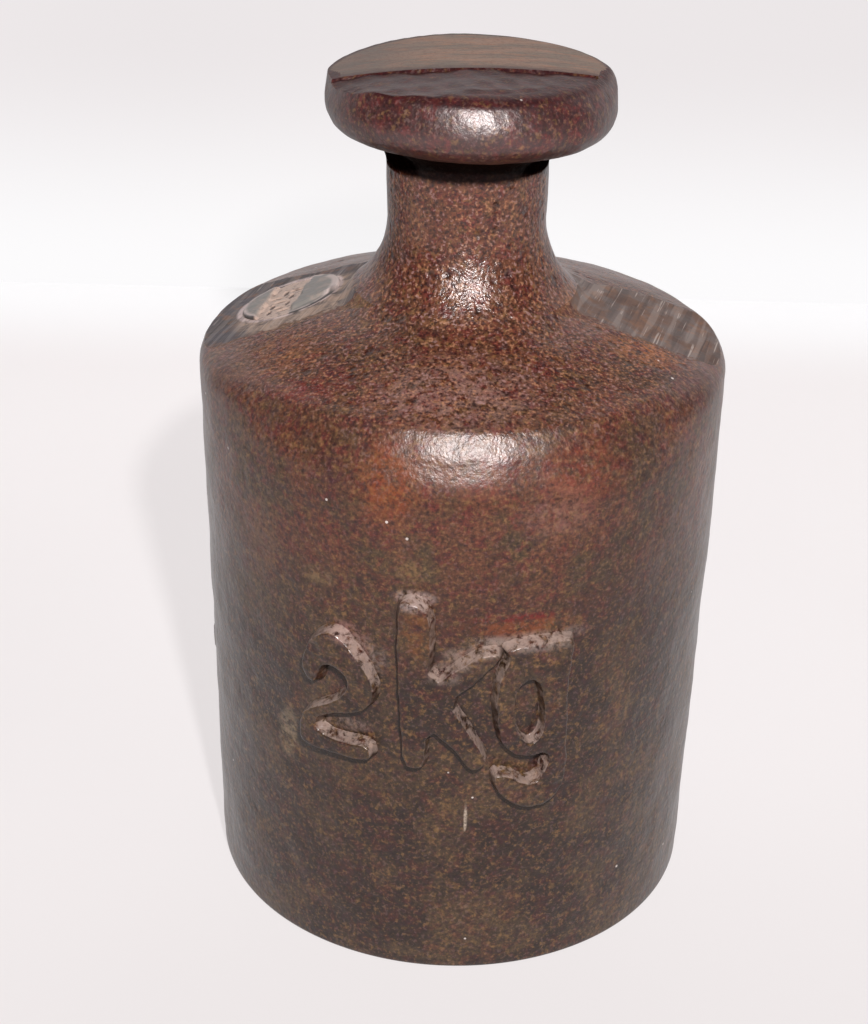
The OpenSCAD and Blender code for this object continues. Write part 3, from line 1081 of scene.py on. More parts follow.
class Bench:
    """The modelling bench: edit-mode operators on the one object being shaped."""

    def __init__(self, obj: bpy.types.Object) -> None:
        """Keeps the object.

        Args:
            obj: The mesh object to shape.
        """
        self.obj = obj

    @staticmethod
    def clear() -> None:
        """Leaves edit mode and deselects every object."""
        if bpy.context.object is not None and bpy.context.object.mode != "OBJECT":
            bpy.ops.object.mode_set(mode="OBJECT")
        bpy.ops.object.select_all(action="DESELECT")

    @classmethod
    def from_point(cls, name: str, start: Vector) -> "Bench":
        """Starts a mesh from one vertex.

        Args:
            name: The new object's name.
            start: Where the vertex stands.

        Returns:
            The bench, in edit mode with that vertex selected.
        """
        cls.clear()
        bpy.ops.mesh.primitive_plane_add(size=MM, location=(0, 0, 0))
        bench = cls(bpy.context.active_object)
        bench.obj.name = name
        bpy.ops.object.mode_set(mode="EDIT")
        bpy.ops.mesh.select_all(action="SELECT")
        bpy.ops.mesh.merge(type="CENTER")
        bpy.ops.transform.translate(value=start)
        return bench

    @classmethod
    def revolved(cls, name: str, outline: Sequence[tuple[float, float]], steps: int) -> "Bench":
        """Draws a half outline point by point and spins it round Z.

        Args:
            name: The new object's name.
            outline: Radius and height of each point in millimetres, from pole to pole.
            steps: Steps of the spin.

        Returns:
            The bench, in edit mode, with a closed solid whose faces point outwards.
        """
        start = metres(outline[0][0], 0, outline[0][1])
        bench = cls.from_point(name, start)
        last = start
        for radius, height in outline[1:]:
            point = metres(radius, 0, height)
            bpy.ops.mesh.extrude_vertices_move(TRANSFORM_OT_translate={"value": point - last})
            last = point
        bpy.ops.mesh.select_all(action="SELECT")
        bpy.ops.mesh.spin(steps=steps, angle=math.tau, center=(0, 0, 0), axis=(0, 0, 1))
        bpy.ops.mesh.select_all(action="SELECT")
        bpy.ops.mesh.remove_doubles(threshold=2e-6)
        bpy.ops.mesh.normals_make_consistent(inside=False)
        return bench

    def edit(self) -> None:
        """Enters edit mode on the object with nothing selected."""
        self.clear()
        bpy.context.view_layer.objects.active = self.obj
        self.obj.select_set(True)
        bpy.ops.object.mode_set(mode="EDIT")
        bpy.ops.mesh.select_all(action="DESELECT")

    def done(self) -> None:
        """Leaves edit mode with the object active."""
        self.clear()
        bpy.context.view_layer.objects.active = self.obj
        self.obj.select_set(True)

    def pick_faces(self, wanted: Callable[[Vector, Vector], bool]) -> int:
        """Selects faces by place and normal, in edit mode.

        Args:
            wanted: Says from a face's centre and normal, in metres, whether it is picked.

        Returns:
            How many faces were picked.
        """
        bpy.ops.mesh.select_all(action="DESELECT")
        shape = bmesh.from_edit_mesh(self.obj.data)
        picked = [f for f in shape.faces if wanted(f.calc_center_median(), f.normal)]
        for face in picked:
            face.select_set(True)
        bmesh.update_edit_mesh(self.obj.data)
        return len(picked)

    def cut(self, wanted: Callable[[Vector, Vector], bool], place: Vector, normal: Vector) -> None:
        """Cuts an edge loop where a plane crosses the picked faces.

        Args:
            wanted: The faces to cut, as in pick_faces.
            place: A point of the plane.
            normal: The plane's normal.
        """
        if self.pick_faces(wanted):
            bpy.ops.mesh.bisect(plane_co=place, plane_no=normal, threshold=1e-6)

    def move_points(self, shift: Callable[[np.ndarray], np.ndarray]) -> None:
        """Moves the mesh's vertices, in object mode.

        Args:
            shift: Takes all places as rows in millimetres and returns the new ones.
        """
        mesh = self.obj.data
        places = np.empty(len(mesh.vertices) * 3, np.float32)
        mesh.vertices.foreach_get("co", places)
        moved = shift(places.reshape(-1, 3).astype(float) / MM) * MM
        mesh.vertices.foreach_set("co", moved.astype(np.float32).ravel())
        mesh.update()

    def weigh(self, name: str, weight: Callable[[np.ndarray], np.ndarray]) -> None:
        """Makes a vertex group.

        Args:
            name: The group's name.
            weight: Takes all places in millimetres and returns a weight for each.
        """
        mesh = self.obj.data
        places = np.empty(len(mesh.vertices) * 3, np.float32)
        mesh.vertices.foreach_get("co", places)
        values = np.clip(weight(places.reshape(-1, 3) / MM), 0, 1)
        group = self.obj.vertex_groups.new(name=name)
        levels = np.round(values * 20).astype(int)
        for level in np.unique(levels):
            group.add(np.nonzero(levels == level)[0].tolist(), float(level) / 20, "REPLACE")

    def modify(self, kind: str, **settings: object) -> None:
        """Adds a modifier and applies it.

        Args:
            kind: The modifier's type.
            settings: Properties to set on it.
        """
        self.done()
        made = self.obj.modifiers.new(kind.lower(), kind)
        for name, value in settings.items():
            setattr(made, name, value)
        bpy.ops.object.modifier_apply(modifier=made.name)

    def ripple(self, size: float, height: float, group: str = "") -> None:
        """Displaces the surface along its normals by cloudy noise.

        Args:
            size: Size of the waves in millimetres.
            height: Full height of the waves in millimetres.
            group: Vertex group that holds it back, if any.
        """
        waves = bpy.data.textures.new(f"{self.obj.name}_waves", "CLOUDS")
        waves.noise_scale = size * MM
        waves.noise_depth = 2
        self.modify("DISPLACE", texture=waves, texture_coords="LOCAL", strength=height * MM,
                    mid_level=0.5, vertex_group=group)

    def carve(self, cutter: "Bench") -> None:
        """Cuts another solid out of this one and removes it.

        Args:
            cutter: The bench that holds that solid.
        """
        cutter.done()
        self.modify("BOOLEAN", operation="DIFFERENCE", solver="EXACT", object=cutter.obj)
        bpy.data.objects.remove(cutter.obj, do_unlink=True)

    def smooth(self, angle: float) -> None:
        """Shades smooth, with edges over angle degrees left sharp."""
        self.done()
        bpy.ops.object.shade_smooth_by_angle(angle=math.radians(angle))

    def finish(self, slot: str, *nodes: str) -> bpy.types.Object:
        """Puts the piece on the model's body in place of CAD nodes.

        Args:
            slot: The record's material slot; not used.
            nodes: The CAD nodes that the piece stands for.

        Returns:
            The finished object.
        """
        self.done()
        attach(self.obj, "root")
        if nodes:
            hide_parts(*nodes)
        LOG.info("%s: %d faces", self.obj.name, len(self.obj.data.polygons))
        return self.obj


def soften(loop: Sequence[tuple[float, float]], passes: int) -> list[tuple[float, float]]:
    """Rounds a closed outline by cutting each of its corners.

    Args:
        loop: The outline's points.
        passes: How many times the corners are cut.

    Returns:
        The rounded outline's points.
    """
    points = [np.array(p, float) for p in loop]
    for _ in range(passes):
        ahead = points[1:] + points[:1]
        points = [p * (1 - share) + q * share for p, q in zip(points, ahead) for share in (0.25, 0.75)]
    return [(float(p[0]), float(p[1])) for p in points]


@dataclass(frozen=True)
class Corner:
    """A corner of a half outline: radius, height and rounding in millimetres."""

    radius: float
    height: float
    rounding: float = 0.0


def trace(corners: Sequence[Corner], spacing: float, arc_spacing: float) -> list[tuple[float, float]]:
    """Turns corners into closely spaced points, with each corner rounded.

    Args:
        corners: The outline's corners in order.
        spacing: Widest step along a straight, in millimetres.
        arc_spacing: Widest step along a rounding, in millimetres.

    Returns:
        The outline's points.
    """
    points: list[np.ndarray] = []
    places = [np.array([c.radius, c.height]) for c in corners]
    for index, corner in enumerate(corners):
        here = places[index]
        arc = [here]
        if corner.rounding > 0:
            back = places[index - 1] - here
            ahead = places[index + 1] - here
            back, ahead = back / np.linalg.norm(back), ahead / np.linalg.norm(ahead)
            half = math.acos(float(np.clip(back @ ahead, -1, 1))) / 2
            middle = (back + ahead) / np.linalg.norm(back + ahead)
            centre = here + middle * corner.rounding / math.sin(half)
            start = here + back * corner.rounding / math.tan(half) - centre
            turn = (math.pi - 2 * half) * (1 if np.cross(ahead, back) > 0 else -1)
            steps = max(3, math.ceil(abs(turn) * corner.rounding / arc_spacing))
            angles = turn * np.arange(steps + 1) / steps
            arc = [centre + np.array([start[0] * math.cos(a) - start[1] * math.sin(a),
                                      start[0] * math.sin(a) + start[1] * math.cos(a)]) for a in angles]
        if points:
            gap = arc[0] - points[-1]
            steps = max(1, math.ceil(float(np.linalg.norm(gap)) / spacing))
            last = points[-1]
            points.extend(last + gap * k / steps for k in range(1, steps))
        points.extend(arc)
    return [(float(p[0]), float(p[1])) for p in points]


def run_shares(line: np.ndarray) -> np.ndarray:
    """How much of an outline's length lies before each of its points, from 0 to 1."""
    run = np.concatenate([[0], np.cumsum(np.hypot(*np.diff(line, axis=0).T))])
    return run / run[-1]


@dataclass
class ShoulderFrame:
    """The slope of the shoulder, and places on it."""

    rim_radius: float = 33.3
    rim_height: float = 74.9
    slope: float = 19.5
    seal_turn: float = 9.5

    def heading(self, side: Side) -> float:
        """Direction in which a ground face falls, in radians about Z."""
        return math.radians(180 - self.seal_turn) if side is Side.SEAL else 0.0

    def normal(self, side: Side) -> Vector:
        """The direction that stands off a ground face."""
        return Vector(slope_normal(self.slope, self.heading(side)))

    def rim_point(self, side: Side, depth: float) -> Vector:
        """A point at the rim, depth millimetres under the shoulder, in metres."""
        turn = self.heading(side)
        rim = metres(self.rim_radius * math.cos(turn), self.rim_radius * math.sin(turn), self.rim_height)
        return rim - self.normal(side) * depth * MM

    def seat(self, radius: float, across: float) -> Matrix:
        """The frame of the seal's mouth.

        Args:
            radius: Distance of the mouth from the axis, in millimetres.
            across: Distance of the mouth behind the middle of the ground face, in millimetres.

        Returns:
            A matrix whose X runs downhill and whose Z stands off the shoulder.
        """
        height = self.rim_height + (self.rim_radius - radius) * math.tan(math.radians(self.slope))
        turn = Matrix.Rotation(self.heading(Side.SEAL), 4, "Z")
        tilt = Matrix.Rotation(math.radians(self.slope), 4, "Y")
        slide = Matrix.Translation(metres(0, -across, 0))
        return turn @ Matrix.Translation(metres(radius, 0, height)) @ tilt @ slide


@dataclass
class IronCasting:
    """The one-piece iron casting: body, shoulders, neck and knob, with its ground and filed faces.

    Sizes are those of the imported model, in millimetres.
    """

    shoulder: ShoulderFrame
    base_diameter: float = 64.5
    neck_diameter: float = 19.5
    knob_diameter: float = 35.5
    neck_foot: float = 83.24
    knob_under: float = 100.8
    knob_edge: float = 101.92
    top: float = 109.9
    strip_inner: float = 14.0
    strip_fade: float = 2.1
    strip_depth: dict[Side, float] = field(default_factory=lambda: {Side.PLAIN: 0.5, Side.SEAL: 0.75})
    crown_radius: float = 110.0
    crown_centre: float = 3.0
    step_place: float = -3.0
    step_drop: float = 0.4
    lean_angle: float = 1.3
    knob_pivot: float = 102.0
    knob_from: float = 103.0
    flat_top: float = 13.5
    edge_width: float = 2.4
    wear_inner: float = 27.0
    wear_foot: float = 64.0
    tip_angle: float = 2.2
    tip_rise: float = 0.4
    columns: int = 320
    bench: Bench = field(init=False)

    def outline(self) -> list[tuple[float, float]]:
        """The half outline of the casting, from the middle of the foot to the top of the knob.

        Returns:
            Radius and height of each point.
        """
        rim, neck, knob = self.shoulder.rim_radius, self.neck_diameter / 2, self.knob_diameter / 2
        foot = trace([Corner(0, 0), Corner(self.base_diameter / 2 - 1.5, 0)], 3.0, 1.0)[:-1]
        wall = trace([
            Corner(self.base_diameter / 2 - 1.5, 0), Corner(self.base_diameter / 2, 0, 0.5),
            Corner(rim, self.shoulder.rim_height, 3.0), Corner(neck, self.neck_foot, 12.0),
            Corner(neck, self.knob_under, 3.4), Corner(knob, self.knob_edge, 4.4),
            Corner(knob, self.top, 2.6), Corner(0, self.top),
        ], 0.72, 0.36)
        inner = self.strip_inner
        bend = [p for p in wall if not (abs(p[0] - inner) < 0.12 and 80 < p[1] < 90)]
        at = next(i for i, p in enumerate(bend) if p[0] < inner and 80 < p[1] < 90)
        outer, inside = np.array(bend[at - 1]), np.array(bend[at])
        for radius in (inner - 0.02, inner + 0.05):
            share = (outer[0] - radius) / (outer[0] - inside[0])
            bend.insert(at, tuple(outer + (inside - outer) * share))
        return foot + bend

    def spin_body(self) -> None:
        """Draws the half outline and spins it into the rough casting."""
        self.bench = Bench.revolved("iron_body", self.outline(), self.columns)
        self.bench.done()

    def wear_rim(self) -> None:
        """Wears the front of the rim to the broad soft bevel that catches the light."""
        slope, rim = math.tan(math.radians(self.shoulder.slope)), self.shoulder.rim_radius
        start = Corner(self.wear_inner, self.shoulder.rim_height + (rim - self.wear_inner) * slope)
        foot = Corner(self.wall_radius(self.wear_foot), self.wear_foot)
        sound = np.array(trace([start, Corner(rim, self.shoulder.rim_height, 3.0), foot], 0.3, 0.1))
        worn = np.array(trace([start, Corner(29.8, self.shoulder.rim_height + (rim - 29.8) * slope, 1.6),
                               Corner(31.5, 73.5, 6.0), Corner(33.15, 69.6, 9.0), foot], 0.3, 0.1))

        def wear(places: np.ndarray) -> np.ndarray:
            """Wears the rim down over its front.

            Args:
                places: All places as rows in millimetres.

            Returns:
                The new places.
            """
            moved = places.copy()
            radius = np.hypot(moved[:, 0], moved[:, 1])
            band = (radius > self.wear_inner) & (moved[:, 2] > self.wear_foot)
            along = np.interp(-moved[:, 2], -sound[:, 1], run_shares(sound))
            new_radius = np.interp(along, run_shares(worn), worn[:, 0])
            new_height = np.interp(along, run_shares(worn), worn[:, 1])
            front = ease(np.clip((-moved[:, 1] / np.maximum(radius, 1) - 0.35) / 0.35, 0, 1) * band)
            moved[:, :2] *= (1 + front * (new_radius / np.maximum(radius, 1) - 1))[:, None]
            moved[:, 2] += front * (new_height - moved[:, 2])
            return moved

        self.bench.move_points(wear)

    def wall_radius(self, height: float) -> float:
        """Radius of the tapering wall at a height."""
        foot = self.base_diameter / 2
        return foot + (self.shoulder.rim_radius - foot) * height / self.shoulder.rim_height

    def wave_skin(self) -> None:
        """Gives the cast skin the low waves of its mould, with the knob a little crooked."""

        def lean(places: np.ndarray) -> np.ndarray:
            """Leans the places of the knob to one side."""
            share = np.clip((places[:, 2] - 99.0) / 1.5, 0, 1)
            return tilted(places, 0, math.radians(self.lean_angle) * share, self.knob_pivot)

        self.bench.weigh("cast", lambda p: np.minimum((p[:, 2] - 0.4) / 3.0,
                                                      (self.top - 0.25 - p[:, 2]) / 0.5))
        self.bench.move_points(lean)
        self.bench.ripple(13.0, 0.55, "cast")
        self.bench.ripple(3.2, 0.15, "cast")

    def crown_height(self, across: np.ndarray) -> np.ndarray:
        """Height of the filed crown at each distance across, in millimetres."""
        rise = np.sqrt(self.crown_radius**2 - (across - self.crown_centre) ** 2)
        return self.top - self.crown_radius + rise

    def front_shift(self, radius: np.ndarray, height: np.ndarray) -> tuple[np.ndarray, np.ndarray]:
        """How far the knob's front edge moves from the spun outline to the fuller one it was cast with.

        Args:
            radius: Radius of each place.
            height: Height of each place.

        Returns:
            The change of radius and of height at each place.
        """
        knob, low = self.knob_diameter / 2, self.top - self.step_drop
        flat, foot = self.flat_top, Corner(knob, self.knob_from + 0.5)
        spun = np.array(trace([Corner(flat, self.top), Corner(knob, self.top, 2.6), foot], 0.3, 0.1))
        cast = np.array(trace([Corner(flat, low), Corner(16.1, low, 2.4), Corner(17.3, 106.4, 7.0), foot],
                              0.3, 0.1))
        run, cast_run = run_shares(spun), run_shares(cast)
        along = np.interp(radius - height, spun[:, 0] - spun[:, 1], run)
        return (np.interp(along, cast_run, cast[:, 0]) - np.interp(along, run, spun[:, 0]),
                np.interp(along, cast_run, cast[:, 1]) - np.interp(along, run, spun[:, 1]))

    def shape_knob(self) -> None:
        """Lowers the front of the knob's top to the other mould half and files the crown."""

        def by_joint(centre: Vector, normal: Vector) -> bool:
            """Whether a face lies on the knob's top or side near the mould joint."""
            near = abs(centre.y / MM - self.step_place) < 1.75
            return near and centre.z > self.knob_from * MM and normal.z > -0.2

        self.bench.edit()
        for place in (self.step_place, self.step_place - 0.25):
            self.bench.cut(by_joint, metres(0, place, 0), Vector((0, 1, 0)))
        self.bench.done()

        def fettle(places: np.ndarray) -> np.ndarray:
            """Gives the knob its full front edge and its filed crown.

            Args:
                places: All places as rows in millimetres.

            Returns:
                The new places.
            """
            moved = places.copy()
            x, y = places[:, 0], places[:, 1]
            knob = moved[:, 2] > self.knob_from
            radius = np.hypot(x, y)
            edge = radius >= self.knob_diameter / 2 - self.edge_width
            crown = self.crown_height(x)
            wave = 0.09 * np.sin(x * 0.55 + 1.0) + 0.05 * np.sin(x * 1.7 + y * 0.9)
            wave += 0.05 * np.sin(y * 1.3 - x * 0.4)
            front = knob & (y < self.step_place - 0.12)
            share = np.where(front, 1.0, ease(np.clip((4 - y) / 7, 0, 1)) * edge)
            share *= knob & (radius > self.flat_top) & (moved[:, 2] > self.knob_from + 0.5)
            wider, higher = self.front_shift(radius, moved[:, 2])
            moved[:, :2] *= (1 + share * wider / np.maximum(radius, 1))[:, None]
            moved[:, 2] += share * higher
            low = self.top - self.step_drop + 0.25 * (1 - radius / 16)
            low = np.minimum(low, crown - self.step_drop * 0.7) + wave
            moved[front, 2] = np.minimum(moved[front, 2], low[front])
            plateau = knob & ~edge & ~front
            moved[plateau, 2] = crown[plateau]
            moved[knob, 2] = np.minimum(moved[knob, 2], crown[knob])
            return moved

        self.bench.move_points(fettle)
        mesh = self.bench.obj.data
        for face in mesh.polygons:
            centre = face.center / MM
            if centre.z > 105 and abs(centre.z - self.crown_height(centre.x)) < 0.03:
                face.material_index = 3

    def tip_knob(self) -> None:
        """Tips the finished knob back on its neck, as it came out of the mould."""

        def tip(places: np.ndarray) -> np.ndarray:
            """Tips the places of the knob back and raises them.

            Args:
                places: All places as rows in millimetres.

            Returns:
                The new places.
            """
            share = np.clip((places[:, 2] - 95.0) / 5.0, 0, 1)
            moved = tilted(places, 1, math.radians(self.tip_angle) * share, self.knob_pivot)
            moved[:, 2] += self.tip_rise * share
            return moved

        self.bench.move_points(tip)

    def grind_shoulder(self, side: Side) -> None:
        """Grinds one shoulder flat across the mould joint.

        Args:
            side: The shoulder to grind.
        """
        normal, place = self.shoulder.normal(side), self.shoulder.rim_point(side, self.strip_depth[side])
        inner = self.strip_inner + 0.01

        def near(centre: Vector, _: Vector) -> bool:
            """Whether a face lies on this side's shoulder."""
            return (68 * MM < centre.z < 90 * MM and centre.x * side.value > 8 * MM
                    and math.hypot(centre.x, centre.y) > self.strip_inner * MM)

        self.bench.edit()
        self.bench.cut(near, place, normal)
        self.bench.done()
        flat, point = np.array(normal), np.array(place) / MM

        def ground(places: np.ndarray, least: float) -> np.ndarray:
            """How far places stand over the ground plane.

            Args:
                places: All places as rows in millimetres.
                least: Height over the plane from which a place counts.

            Returns:
                The height, or 0 elsewhere.
            """
            over = (places - point) @ flat
            radius = np.hypot(places[:, 0], places[:, 1])
            on = (over > least) & (radius > inner) & (places[:, 0] * side.value > 6) & (places[:, 2] < 92)
            return np.where(on, over, 0.0)

        def grind(places: np.ndarray) -> np.ndarray:
            """Takes the places down to the ground plane.

            Args:
                places: All places as rows in millimetres.

            Returns:
                The new places.
            """
            radius = np.hypot(places[:, 0], places[:, 1])
            share = ease(np.clip((radius - inner) / self.strip_fade, 0, 1))
            return places - (ground(places, 0.0) * share)[:, None] * flat

        mesh = self.bench.obj.data
        count = len(mesh.polygons)
        centres, slots = np.empty(count * 3), np.empty(count, np.int32)
        mesh.polygons.foreach_get("center", centres)
        mesh.polygons.foreach_get("material_index", slots)
        slots[ground(centres.reshape(-1, 3) / MM, 0.004) > 0] = 1 if side is Side.PLAIN else 2
        mesh.polygons.foreach_set("material_index", slots)
        self.bench.move_points(grind)

    def raise_fins(self) -> None:
        """Leaves the broken remains of the mould joint's fin on both sides of the body."""
        remains = ((-1, 27, 33, 0.5, 0.9), (1, 44, 50, 0.45, 2.5), (-1, 8, 20, 0.2, 1.2))

        def swell(places: np.ndarray) -> np.ndarray:
            """Raises the remains of the fin.

            Args:
                places: All places as rows in millimetres.

            Returns:
                The new places.
            """
            moved = places.copy()
            radius = np.hypot(moved[:, 0], moved[:, 1])
            up = moved[:, 2]
            for sign, low, high, height, width in remains:
                share = np.exp(-((moved[:, 1] / width) ** 2)) * (moved[:, 0] * sign > 30)
                share *= np.clip((up - low) / 1.5, 0, 1) * np.clip((high - up) / 1.5, 0, 1)
                moved[:, :2] *= (1 + share * height / np.maximum(radius, 1))[:, None]
            return moved

        self.bench.move_points(swell)

    def drill(self, seal: "LeadSeal", finishes: Sequence[bpy.types.Material]) -> None:
        """Drills the adjusting cavity, its disc seat, its mouth and its key groove.

        Args:
            seal: The seal that fills the mouth.
            finishes: The casting's finishes, of which the drilled walls take the sealed shoulder's.
        """
        cutter = Bench.revolved("cavity_cutter", seal.bore_outline(), 96)
        cutter.done()
        for material in finishes:
            cutter.obj.data.materials.append(material)
        for face in cutter.obj.data.polygons:
            face.material_index = 2
        cutter.obj.data.transform(self.shoulder.seat(seal.radius, seal.across))
        self.bench.carve(cutter)

    def build(self, seal: "LeadSeal", finishes: Sequence[bpy.types.Material]) -> Bench:
        """Builds the whole casting.

        Args:
            seal: The seal whose cavity is drilled.
            finishes: The cast skin, the plain and the sealed ground shoulder, and the filed crown.

        Returns:
            The bench that holds the casting.
        """
        self.spin_body()
        for material in finishes:
            self.bench.obj.data.materials.append(material)
        self.wear_rim()
        self.wave_skin()
        self.shape_knob()
        self.tip_knob()
        for side in Side:
            self.grind_shoulder(side)
        self.raise_fins()
        self.drill(seal, finishes)
        self.bench.smooth(32)
        return self.bench


@dataclass
class RaisedCharacter:
    """One raised character of the denomination, drawn by its outline and cast with sloping flanks.

    The outline and the counter are in millimetres along the body's front and up it.
    """

    name: str
    outline: tuple[tuple[float, float], ...]
    counter: tuple[tuple[float, float], ...] = ()
    height: float = 1.75
    sunk: float = 0.9
    draft: float = 0.55
    wrap_radius: float = 33.0
    foot_radius: float = 32.25
    rim_radius: float = 33.3
    rim_height: float = 74.9

    @staticmethod
    def draw(name: str, loop: Sequence[tuple[float, float]], depth: float) -> Bench:
        """Draws a closed outline as one face.

        Args:
            name: The new object's name.
            loop: The outline's points.
            depth: How far behind the wall it is drawn, in millimetres.

        Returns:
            The bench, in edit mode with the face selected.
        """
        points = [metres(along, depth, up) for along, up in soften(loop, 1)]
        bench = Bench.from_point(name, points[0])
        for before, after in zip(points, points[1:]):
            bpy.ops.mesh.extrude_vertices_move(TRANSFORM_OT_translate={"value": after - before})
        bpy.ops.mesh.select_all(action="SELECT")
        bpy.ops.mesh.edge_face_add()
        return bench

    def wrap(self, places: np.ndarray) -> np.ndarray:
        """Lays flat places round the tapering body.

        Args:
            places: Along, depth towards the back and height, in millimetres.

        Returns:
            Places on the body.
        """
        angle = places[:, 0] / self.wrap_radius
        wall = self.foot_radius + (self.rim_radius - self.foot_radius) * places[:, 2] / self.rim_height
        radius = wall - places[:, 1]
        return np.column_stack([radius * np.sin(angle), -radius * np.cos(angle), places[:, 2]])

    def raise_body(self) -> Bench:
        """Raises the outline off the wall with sloping flanks.

        Returns:
            The bench that holds the raised outline.
        """
        bench = self.draw(self.name, self.outline, self.sunk)
        bpy.ops.mesh.extrude_region_move(TRANSFORM_OT_translate={"value": metres(0, -self.sunk, 0)})
        bpy.ops.mesh.select_all(action="SELECT")
        bpy.ops.mesh.normals_make_consistent(inside=False)
        bench.pick_faces(lambda c, n: abs(c.y) < 0.05 * MM and n.y < -0.9)
        bpy.ops.mesh.inset(thickness=self.draft * MM, depth=self.height * MM, use_even_offset=True)
        bench.done()
        return bench

    def cut_counter(self, bench: Bench) -> None:
        """Cuts the counter, wider at its top than at the wall.

        Args:
            bench: The bench that holds the raised outline.
        """
        cutter = self.draw("counter_cutter", self.counter, 0.0)
        bpy.ops.mesh.extrude_region_move(TRANSFORM_OT_translate={"value": metres(0, -2 * self.height, 0)})
        bpy.ops.transform.resize(value=(1.3, 1, 1.14))
        bpy.ops.mesh.select_all(action="SELECT")
        bpy.ops.mesh.normals_make_consistent(inside=False)
        bench.carve(cutter)

    def build(self, skin: bpy.types.Material) -> Bench:
        """Models the character in the flat, softens it and lays it on the body.

        Args:
            skin: The cast skin.

        Returns:
            The bench that holds the character.
        """
        bench = self.raise_body()
        if self.counter:
            self.cut_counter(bench)
        bench.modify("REMESH", mode="VOXEL", voxel_size=0.15 * MM, adaptivity=0.0)
        bench.modify("SMOOTH", factor=0.6, iterations=6)
        bench.ripple(2.2, 0.42)
        bench.move_points(self.wrap)
        bench.obj.data.materials.clear()
        bench.obj.data.materials.append(skin)
        bench.smooth(60)
        return bench


